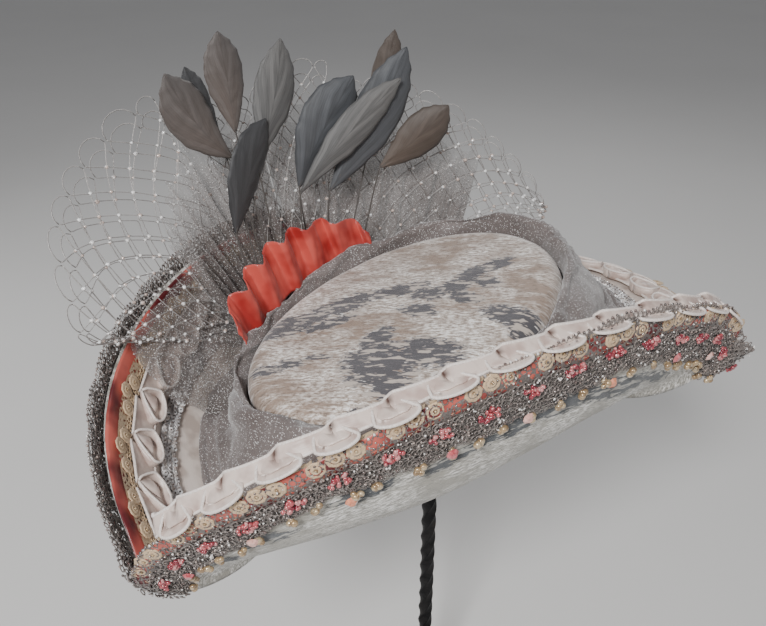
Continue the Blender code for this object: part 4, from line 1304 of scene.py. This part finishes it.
def makeBraid(name, flap):
    low, high = flap["braid"]
    grid = bandGrid(flap, low, high, braid["lift"], braid["size"], braid["margin"], braid["arch"])
    band = gridPiece(f"braid_{name}_band", grid, [braidThread])
    addWall(band, braid["wall"])
    dice = random.Random(flap["seed"] + 120)
    count = round(flapLength(flap, low) * 0.96 / braid["step"])
    angles = flapAngles(flap, count * 2, low, braid["margin"])
    places, beads = [], []
    for i in range(count):
        for line in range(braid["lines"]):
            angle = angles[2 * i + (line % 2)]
            reach = mix(low, high, (line + 0.5) / braid["lines"]) + dice.uniform(-0.0004, 0.0004)
            axes = flapAxes(angle, reach)
            point = brimPoint(angle, reach) + axes[2] * (braid["lift"] + 0.0011)
            tilts = [Matrix.Rotation(dice.uniform(-braid["tilt"], braid["tilt"]), 4, axis) for axis in "XY"]
            place = placing(point, axes, braid["sequinSize"] * dice.uniform(0.7, 1.0))
            places.append(place @ tilts[0] @ tilts[1])
            beads.append(placing(point + axes[2] * 0.0006, axes, braid["bead"]))
    groups = [(sequin, places, 0), (seedBead, beads, 1)]
    work = stampPiece(f"braid_{name}_sequins", groups, [silverSequins, silverBeads])
    settle(work, "silver_braid", f"silver_braid_{name}")
    settle(band, "silver_braid")
    declareSheet(band, sheetFacts([grid]), "laid", ["brim"], with_pieces=[work])


for flapName, flapRow in flaps.items():
    print("trims", flapName)
    for makeTrim in (makeLace, makeCoralRibbon, makeDaisies, makeRuffle, makeBraid):
        makeTrim(flapName, flapRow)


# Cut stones on the lace keep their CAD facets

stoneColours = {"peach": (0.72, 0.20, 0.09), "rose": (0.45, 0.06, 0.07), "blush": (0.70, 0.34, 0.28)}
stones = [makeCrystalFinish(f"{tint}Stone", colour) for tint, colour in stoneColours.items()]
for flapName, count in (("left", 8), ("back", 5), ("right", 5)):
    for number in range(1, count + 1):
        bpy.data.objects[f"crystal_{flapName}_{number}"].material_slots[0].material = stones[number % 3]


# Pleated satin cockade

cockade = {
    "first": -50.0, "last": -129.0, "pleats": 6, "stepsPerPleat": 34, "rows": 22, "wall": 0.0006,
    "depth": 0.0046, "footDepth": 0.0018, "rise": 0.035, "endShare": 0.30, "seat": -0.0020,
    "footOut": 0.0085, "topOut": 0.0115, "lean": 0.30, "scallop": 0.0016, "turnBack": 0.80,
    "crease": 0.42, "curl": 0.0022, "soft": 0.0006,
}


def cockadePoint(height, share):
    phase = cockade["pleats"] * share + 0.10 * waver(share * 9.0, 4.0)
    flute = phase - math.floor(phase)
    # each pleat swells slowly and folds back sharply, with a flat down its middle
    back = cockade["turnBack"]
    rising = flute / back if flute < back else (1.0 - flute) / (1.0 - back)
    crease = max(1.0 - abs(flute - cockade["crease"]) / 0.10, 0.0)
    swell = easeStep(0.0, 1.0, rising) ** 0.8 * 2.0 - 1.0 + 0.16 * crease
    along = share - cockade["lean"] / cockade["pleats"] * (flute**3) * height * 0.5
    angle = mix(cockade["first"], cockade["last"], along)
    rise = cockade["rise"] * mix(cockade["endShare"], 1.0, math.sin(math.pi * share) ** 0.6)
    rise += cockade["scallop"] * (flute * 2.0 - 1.0) * height * min((1.0 - flute) * 12.0, 1.0)
    foot = roundCrown(wrap["top"], angle) + cockade["seat"]
    depth = mix(cockade["footDepth"], cockade["depth"], height ** 0.8)
    grow = mix(cockade["footOut"], cockade["topOut"], height) + depth * swell + cockade["curl"] * height**3
    soft = cockade["soft"] * waver(share * 30.0, height * 3.0)
    return polar(angle, crownRadius(angle, grow) + soft, foot + rise * height)


print("cockade")
cockadeRows = gridOf(cockade["rows"], cockade["pleats"] * cockade["stepsPerPleat"], cockadePoint)
cockadeFan = gridPiece("cockadeSatin", cockadeRows, [coralSatin])
addWall(cockadeFan, cockade["wall"])
settle(cockadeFan, "coral_satin", "cockade")
declareSheet(cockadeFan, sheetFacts([cockadeRows]), "gathered", ["crown_wrap"])


# Gathered tulle fans: root angles, seat across the scarf, folds, and the tips in the hat's frame

tulleFans = {
    "tulle_fan_front": {
        "first": -70.0, "last": -99.6, "seat": 0.74, "lift": 0.0014, "folds": 9, "seed": 2,
        "tips": ((0.072, -0.088, 0.122), (0.061, -0.104, 0.132), (0.042, -0.117, 0.148),
                 (0.013, -0.124, 0.161), (-0.0325, -0.1260, 0.163)),
    },
    "tulle_fan_back": {
        "first": -101.0, "last": -152.0, "seat": 0.80, "lift": 0.0025, "folds": 9, "seed": 6,
        "tips": ((-0.0345, -0.1265, 0.163), (-0.080, -0.115, 0.155), (-0.117, -0.096, 0.138),
                 (-0.145, -0.070, 0.110), (-0.155, -0.050, 0.084)),
    },
}
tulleCloth = {
    "size": (26, 200), "bulge": 0.0035, "fold": 0.0036, "rootFold": 0.10, "layers": 2, "layerGap": 0.006,
    "chips": 3500, "chipSize": (0.00025, 0.00060),
}
overlay = {
    "first": 283.0, "last": 324.0, "inner": 0.030, "outer": 0.1090, "size": (50, 90), "bowDeg": 3.0,
    "lifts": (0.0150, 0.0150, 0.0140, 0.0130, 0.0110, 0.0060), "fold": 0.0014, "chips": 2000,
}


def fanPoint(fan, share, height, bulge):
    angle = mix(fan["first"], fan["last"], share)
    root = onWrap(angle, fan["seat"], fan["lift"])
    tip = smoothLine(fan["tips"], share)
    return root.lerp(tip, height) + polar(angle, bulge * math.sin(math.pi * min(height, 1.0)), 0.0)


def tullePoint(fan, layer, height, share):
    out = polar(mix(fan["first"], fan["last"], share), 1.0, 0.0)
    phase = 2.0 * math.pi * fan["folds"] * share + 1.7 * layer + 1.4 * waver(share * 7.0, layer * 5.0, height)
    wave = math.sin(phase) + 0.35 * math.sin(2.7 * phase + fan["seed"])
    wave *= tulleCloth["fold"] * mix(tulleCloth["rootFold"], 1.0, height)
    reach = 1.0 - 0.07 * layer + 0.035 * math.sin(phase * 0.5 + fan["seed"]) * height
    point = fanPoint(fan, share, height * reach, tulleCloth["bulge"])
    point += out * (wave - layer * tulleCloth["layerGap"] * math.sin(math.pi * height * 0.6))
    return point + out * 0.004 * waver(share * 5.0, height * 3.0, layer + fan["seed"]) * height


def makeTulleFan(name, fan):
    grids = []
    for layer in range(tulleCloth["layers"]):
        grids.append(gridOf(*tulleCloth["size"], lambda height, share: tullePoint(fan, layer, height, share)))
    uv = gridOf(*tulleCloth["size"], lambda height, share: (share, height))
    layers = [gridPiece(f"{name}_layer{k}", rows, [fanTulle], uv=uv) for k, rows in enumerate(grids)]
    cloth = joinPieces(f"{name}_cloth", layers)
    settle(cloth, "tulle", name)
    declareSheet(cloth, sheetFacts(grids), "gathered", ["crown_wrap"])
    scatterChips(f"{name}_glitter", grids, tulleCloth["chips"], tulleCloth["chipSize"], fan["seed"] + 60)


def overlayPoint(share, across):
    bow = overlay["bowDeg"] * math.sin(math.pi * share) * across  # its lower edge bows along the flap
    fold = math.sin(share * 16.0 + across * 9.0 + 4.0 * waver(across * 3.0, share * 3.0))
    lift = alongFlap(overlay["lifts"], share) + overlay["fold"] * fold
    reach = mix(overlay["inner"], overlay["outer"], share)
    return onFlap(mix(overlay["first"], overlay["last"], across) + bow, reach, lift)


def makeOverlay():
    rows = gridOf(*overlay["size"], overlayPoint)
    uv = gridOf(*overlay["size"], lambda share, across: (across, 0.25 + 0.35 * across))
    cloth = gridPiece("tulleOverFlap", rows, [fanTulle], uv=uv)
    settle(cloth, "tulle")
    declareSheet(cloth, sheetFacts([rows]), "draped", ["ruffle_right_satin", "crownWrap"])
    scatterChips("tulleOverFlapGlitter", [rows], overlay["chips"], tulleCloth["chipSize"], 71)


print("tulle fans")
makeOverlay()
for fanName, fanRow in tulleFans.items():
    makeTulleFan(fanName, fanRow)


# Silver net: fans of diamonds with knots at the crossings and a rounded loop at each tip

veils = {
    "veil_front": {
        "first": -69.0, "last": -92.0, "seat": 0.92, "lift": 0.0010, "columns": 20, "rows": 13,
        "bulge": 0.006,
        "tips": ((0.126, -0.078, 0.099), (0.146, -0.068, 0.110), (0.144, -0.070, 0.134),
                 (0.130, -0.088, 0.160), (0.104, -0.108, 0.173), (0.068, -0.125, 0.182),
                 (0.026, -0.136, 0.188)),
    },
    "veil_top": {
        "first": -94.0, "last": -110.0, "seat": 0.45, "lift": 0.0010, "columns": 12, "rows": 13,
        "bulge": 0.004,
        "tips": ((0.018, -0.118, 0.176), (-0.020, -0.115, 0.170), (-0.050, -0.108, 0.180),
                 (-0.078, -0.098, 0.176)),
    },
    "veil_back": {
        "first": -112.0, "last": -172.0, "seat": 0.50, "lift": 0.0020, "columns": 19, "rows": 12,
        "bulge": 0.010,
        "tips": ((-0.086, -0.092, 0.160), (-0.117, -0.069, 0.146), (-0.140, -0.044, 0.118),
                 (-0.153, -0.022, 0.086), (-0.159, -0.004, 0.054)),
    },
}
net = {
    "thread": 0.00034, "stepsPerHalf": 4, "knot": 0.00125, "layers": 2, "layerShift": 0.012, "sway": 0.004,
    "swing": 0.97, "rise": 0.9, "layerShrink": 0.06, "bareRoot": 0.2, "knotted": 0.9,
    "loopSteps": 8, "loopReach": 0.75, "narrowest": 0.002,
}


def makeVeil(name, veil):
    store, knots = {"points": [], "faces": []}, []
    dice = random.Random(len(name) + veil["columns"])
    columns = veil["columns"]
    halves = 2 * veil["rows"] + 1  # half cells from the root, ending on open ones

    def netPoint(strand, halfCells, layer, atKnot=False):
        # each thread swings to either side, against its neighbours, and the knots fill the gap between
        swing = math.sin(math.pi * halfCells / 2.0)
        if not atKnot:
            swing = math.asin(net["swing"] * swing) / (math.pi / 2.0)
        share = min(max((strand + (0.5 if strand % 2 else -0.5) * swing) / columns, 0.0), 1.0)
        height = (halfCells / halves) ** net["rise"]
        sway = net["sway"] * waver(share * 4.0, height * 3.0, layer * 9.0 + columns)
        bulge = veil["bulge"] + layer * net["layerShift"]
        point = fanPoint(veil, share, height * (1.0 - net["layerShrink"] * layer), bulge)
        return point + polar(mix(veil["first"], veil["last"], share), sway * height, 0.0)

    for layer in range(net["layers"]):
        for strand in range(columns + 1):
            steps = range(halves * net["stepsPerHalf"] + 1)
            line = [netPoint(strand, step / net["stepsPerHalf"], layer) for step in steps]
            addTube(store, line, net["thread"])
            for halfCells in range(1, halves, 2):
                bare = (halfCells / halves) ** net["rise"] <= net["bareRoot"]
                if not bare and dice.random() < net["knotted"]:
                    place = Matrix.Translation(netPoint(strand, halfCells, layer, True))
                    knots.append(place @ Matrix.Scale(net["knot"] * dice.uniform(0.7, 1.3), 4))
        # rounded loops between neighbouring strands at the tips
        for strand in range(columns):
            first, second = netPoint(strand, halves, layer), netPoint(strand + 1, halves, layer)
            if (second - first).length < net["narrowest"]:
                continue
            place = (strand + 0.5) / columns
            root = onWrap(mix(veil["first"], veil["last"], place), veil["seat"], 0.0)
            away = (smoothLine(veil["tips"], place) - root).normalized()
            middle, half = (first + second) / 2.0, (second - first) / 2.0
            arc = []
            for k in range(net["loopSteps"] + 1):
                turn = math.pi * k / net["loopSteps"]
                out = away * half.length * net["loopReach"] * math.sin(turn)
                arc.append(middle - half * math.cos(turn) + out)
            addTube(store, arc, net["thread"])
    settle(tubePiece(f"{name}_threads", store, netThread), "net", name)
    settle(stampPiece(f"{name}_knots", [(seedBead, knots, 0)], [netKnots]), "net")


print("net")
for veilName, veilRow in veils.items():
    makeVeil(veilName, veilRow)


# Goose feathers: root angle, where the vane starts, tip, widest half width, sideways bow, finish

feathers = {
    "feather_1": (-81.0, (0.007, -0.1040, 0.148), (0.034, -0.1030, 0.208), 0.0140, 0.006, "beige"),
    "feather_2": (-77.5, (0.008, -0.1085, 0.152), (0.017, -0.1085, 0.206), 0.0100, 0.002, "slate"),
    "feather_3": (-84.5, (-0.002, -0.1060, 0.160), (-0.009, -0.1050, 0.218), 0.0125, 0.000, "beige"),
    "feather_4": (-88.0, (-0.008, -0.1010, 0.140), (-0.045, -0.0960, 0.203), 0.0130, -0.004, "grey"),
    "feather_5": (-74.0, (0.024, -0.0985, 0.106), (-0.019, -0.0960, 0.163), 0.0155, 0.004, "slate"),
    "feather_6": (-103.0, (-0.032, -0.0985, 0.112), (-0.080, -0.0780, 0.169), 0.0170, 0.004, "blue"),
    "feather_7": (-99.0, (-0.028, -0.0940, 0.110), (-0.099, -0.0560, 0.162), 0.0105, 0.003, "grey"),
    "feather_8": (-108.0, (-0.049, -0.0900, 0.103), (-0.110, -0.0570, 0.178), 0.0145, -0.004, "blue"),
    "feather_9": (-113.0, (-0.088, -0.0830, 0.125), (-0.112, -0.0660, 0.188), 0.0085, 0.000, "brown"),
    "feather_10": (-118.0, (-0.084, -0.0760, 0.106), (-0.124, -0.0430, 0.136), 0.0125, -0.002, "brown"),
}
featherColours = {
    # at the root and at the tip
    "beige": ((0.165, 0.130, 0.112), (0.105, 0.094, 0.090)),
    "slate": ((0.050, 0.050, 0.053), (0.060, 0.060, 0.063)),
    "grey": ((0.095, 0.094, 0.094), (0.170, 0.165, 0.160)),
    "blue": ((0.068, 0.070, 0.076), (0.088, 0.093, 0.102)),
    "brown": ((0.115, 0.085, 0.066), (0.080, 0.062, 0.052)),
}
featherFinishes = {tint: makeFeatherFinish(f"{tint}Feather", *pair) for tint, pair in featherColours.items()}
vane = {
    "seat": 0.25, "lift": 0.0006, "rows": 44, "columns": 14, "wall": 0.00028, "quill": 0.00065, "cup": 0.30,
    "bow": 1.6, "twist": 0.30, "narrowSide": 0.86, "spread": 1.18, "fray": 0.03, "split": 0.012,
    "barb": 0.0030, "ripple": 0.0005, "quillSides": 6, "quillTip": 0.35, "ribStop": 0.97,
    "profile": ((0.00, 0.05), (0.10, 0.30), (0.24, 0.62), (0.42, 0.92), (0.60, 1.00),
                (0.76, 0.88), (0.88, 0.58), (0.96, 0.24), (1.00, 0.02)),
}


def vaneWidth(share):
    for (low, lowWidth), (high, highWidth) in zip(vane["profile"], vane["profile"][1:]):
        if share <= high:
            t = (share - low) / (high - low)
            return mix(lowWidth, highWidth, eased(t) if low > 0.1 else t)


def splitAt(share, out, seed):
    # two narrow gaps where barbs have parted at the edge
    gap = 0.0
    for k in range(2):
        place = 0.45 + 0.25 * k + 0.25 * waver(seed * 1.7, k * 3.0)
        gap = max(gap, 1.0 - abs(share - place) / 0.012)
    return gap * abs(out) ** 4 * 3.0


def makeFeather(name, row):
    rootAngle, start, tip, half, bow, finish = row
    root, start, tip = onWrap(rootAngle, vane["seat"], vane["lift"]), Vector(start), Vector(tip)
    outwards = polar(math.degrees(math.atan2(start.y, start.x)), 1.0, 0.0)
    side = (tip - start).cross(outwards).normalized()
    bowed = start.lerp(tip, 0.5) + side * bow * vane["bow"]
    seed = float(len(name)) + rootAngle

    def spinePoint(share):
        return start.lerp(bowed, share).lerp(bowed.lerp(tip, share), share)

    rows, uv = [], []
    for i in range(vane["rows"] + 1):
        share = i / vane["rows"]
        middle, widest = spinePoint(share), vaneWidth(share)
        along = (spinePoint(share + 0.01) - spinePoint(share - 0.01)).normalized()
        twist = vane["twist"] * waver(share * 1.2, seed)
        across = (side - along * side.dot(along)).normalized()
        across = across * math.cos(twist) + along.cross(across) * math.sin(twist)
        face = along.cross(across)
        points, flat = [], []
        for j in range(vane["columns"] + 1):
            out = 2.0 * j / vane["columns"] - 1.0
            fray = vane["spread"] + vane["fray"] * waver(share * 3.0, out * 2.0, seed)
            fray -= vane["split"] * splitAt(share, out, seed)
            width = half * widest * (1.0 if out < 0 else vane["narrowSide"]) * fray
            curve = vane["cup"] * half * (out * out - 0.3) * widest
            curve += vane["ripple"] * waver(share * 22.0 - abs(out) * 4.0, out * 3.0, seed)
            barb = vane["barb"] * abs(out) * widest * (1.0 - share)  # barbs sweep towards the tip
            points.append(middle + across * out * width - face * curve + along * barb)
            flat.append((out, share))
        rows.append(points)
        uv.append(flat)
    blade = gridPiece(f"{name}_vane", rows, [featherFinishes[finish]], uv=uv)
    addWall(blade, vane["wall"])
    store = {"points": [], "faces": []}
    stalk = [root, root.lerp(start, 0.5) - spinePoint(0.2) * 0.02 + start * 0.02, start, spinePoint(0.15)]
    quill = [smoothLine(stalk, k / 15.0 * 2.0 / 3.0) for k in range(15)]
    quill += [spinePoint(k / 25.0 * vane["ribStop"]) for k in range(26)]
    addTube(store, quill, vane["quill"], vane["quillSides"])
    for k, middle in enumerate(quill):
        ring = k * vane["quillSides"]
        for point in store["points"][ring:ring + vane["quillSides"]]:
            point -= (point - middle) * (1.0 - mix(1.0, vane["quillTip"], k / (len(quill) - 1)))
    settle(blade, "feather", name)
    settle(tubePiece(f"{name}_quill", store, quillHorn), "feather")


print("feathers")
for featherName, featherRow in feathers.items():
    makeFeather(featherName, featherRow)


# Floor, light and camera

lamps = {
    # place, size and power
    "frontLight": ((0.42, -0.95, 1.22), 0.30, 19.5),
    "rightLight": ((1.1, -0.1, 0.8), 0.8, 1.6),
    "leftLight": ((-1.0, -0.3, 0.7), 0.8, 3.0),
    "backLight": ((-0.4, 1.0, 1.2), 0.6, 4.0),
}
lampTarget = Vector((0.0, 0.0, 0.34))


def makeFloor():
    material, shader = startMaterial("paleFloor", Roughness=0.75)
    soft = noiseOf(placeOf(shader), 3.0, 3.0)
    attach(shader, Base_Color=mixColours(soft, (0.70, 0.69, 0.675), (0.76, 0.75, 0.735)))
    bpy.ops.object.select_all(action="DESELECT")
    bpy.ops.mesh.primitive_plane_add(size=10.0, location=(0.0, 0.0, 0.0))
    floor = bpy.context.object
    floor.name = floor.data.name = "paleFloor"
    floor.data.materials.append(material)


def makeLight(name, place, size, power):
    lamp = bpy.data.lights.new(name, "AREA")
    lamp.shape = "DISK"
    lamp.size = size
    lamp.energy = power
    holder = bpy.data.objects.new(name, lamp)
    bpy.context.scene.collection.objects.link(holder)
    holder.location = place
    holder.rotation_euler = (lampTarget - Vector(place)).to_track_quat("-Z", "Y").to_euler()


def makeSky():
    sky = bpy.data.worlds.new("softRoom")
    sky.use_nodes = True
    attach(sky.node_tree.nodes["Background"], Color=(0.86, 0.87, 0.90, 1.0), Strength=0.26)
    bpy.context.scene.world = sky


def makeCamera():
    lens = bpy.data.cameras.new("photoView")
    lens.sensor_width = 36.0
    lens.lens = 39.95
    camera = bpy.data.objects.new("photoView", lens)
    bpy.context.scene.collection.objects.link(camera)
    camera.location = (0.2566, -0.3332, 0.6254)
    camera.rotation_euler = (math.radians(59.06), 0.0, math.radians(41.79))
    bpy.context.scene.camera = camera


print("floor, light and camera")
makeFloor()
for lampName, lampRow in lamps.items():
    makeLight(lampName, *lampRow)
makeSky()
makeCamera()

print("finish")
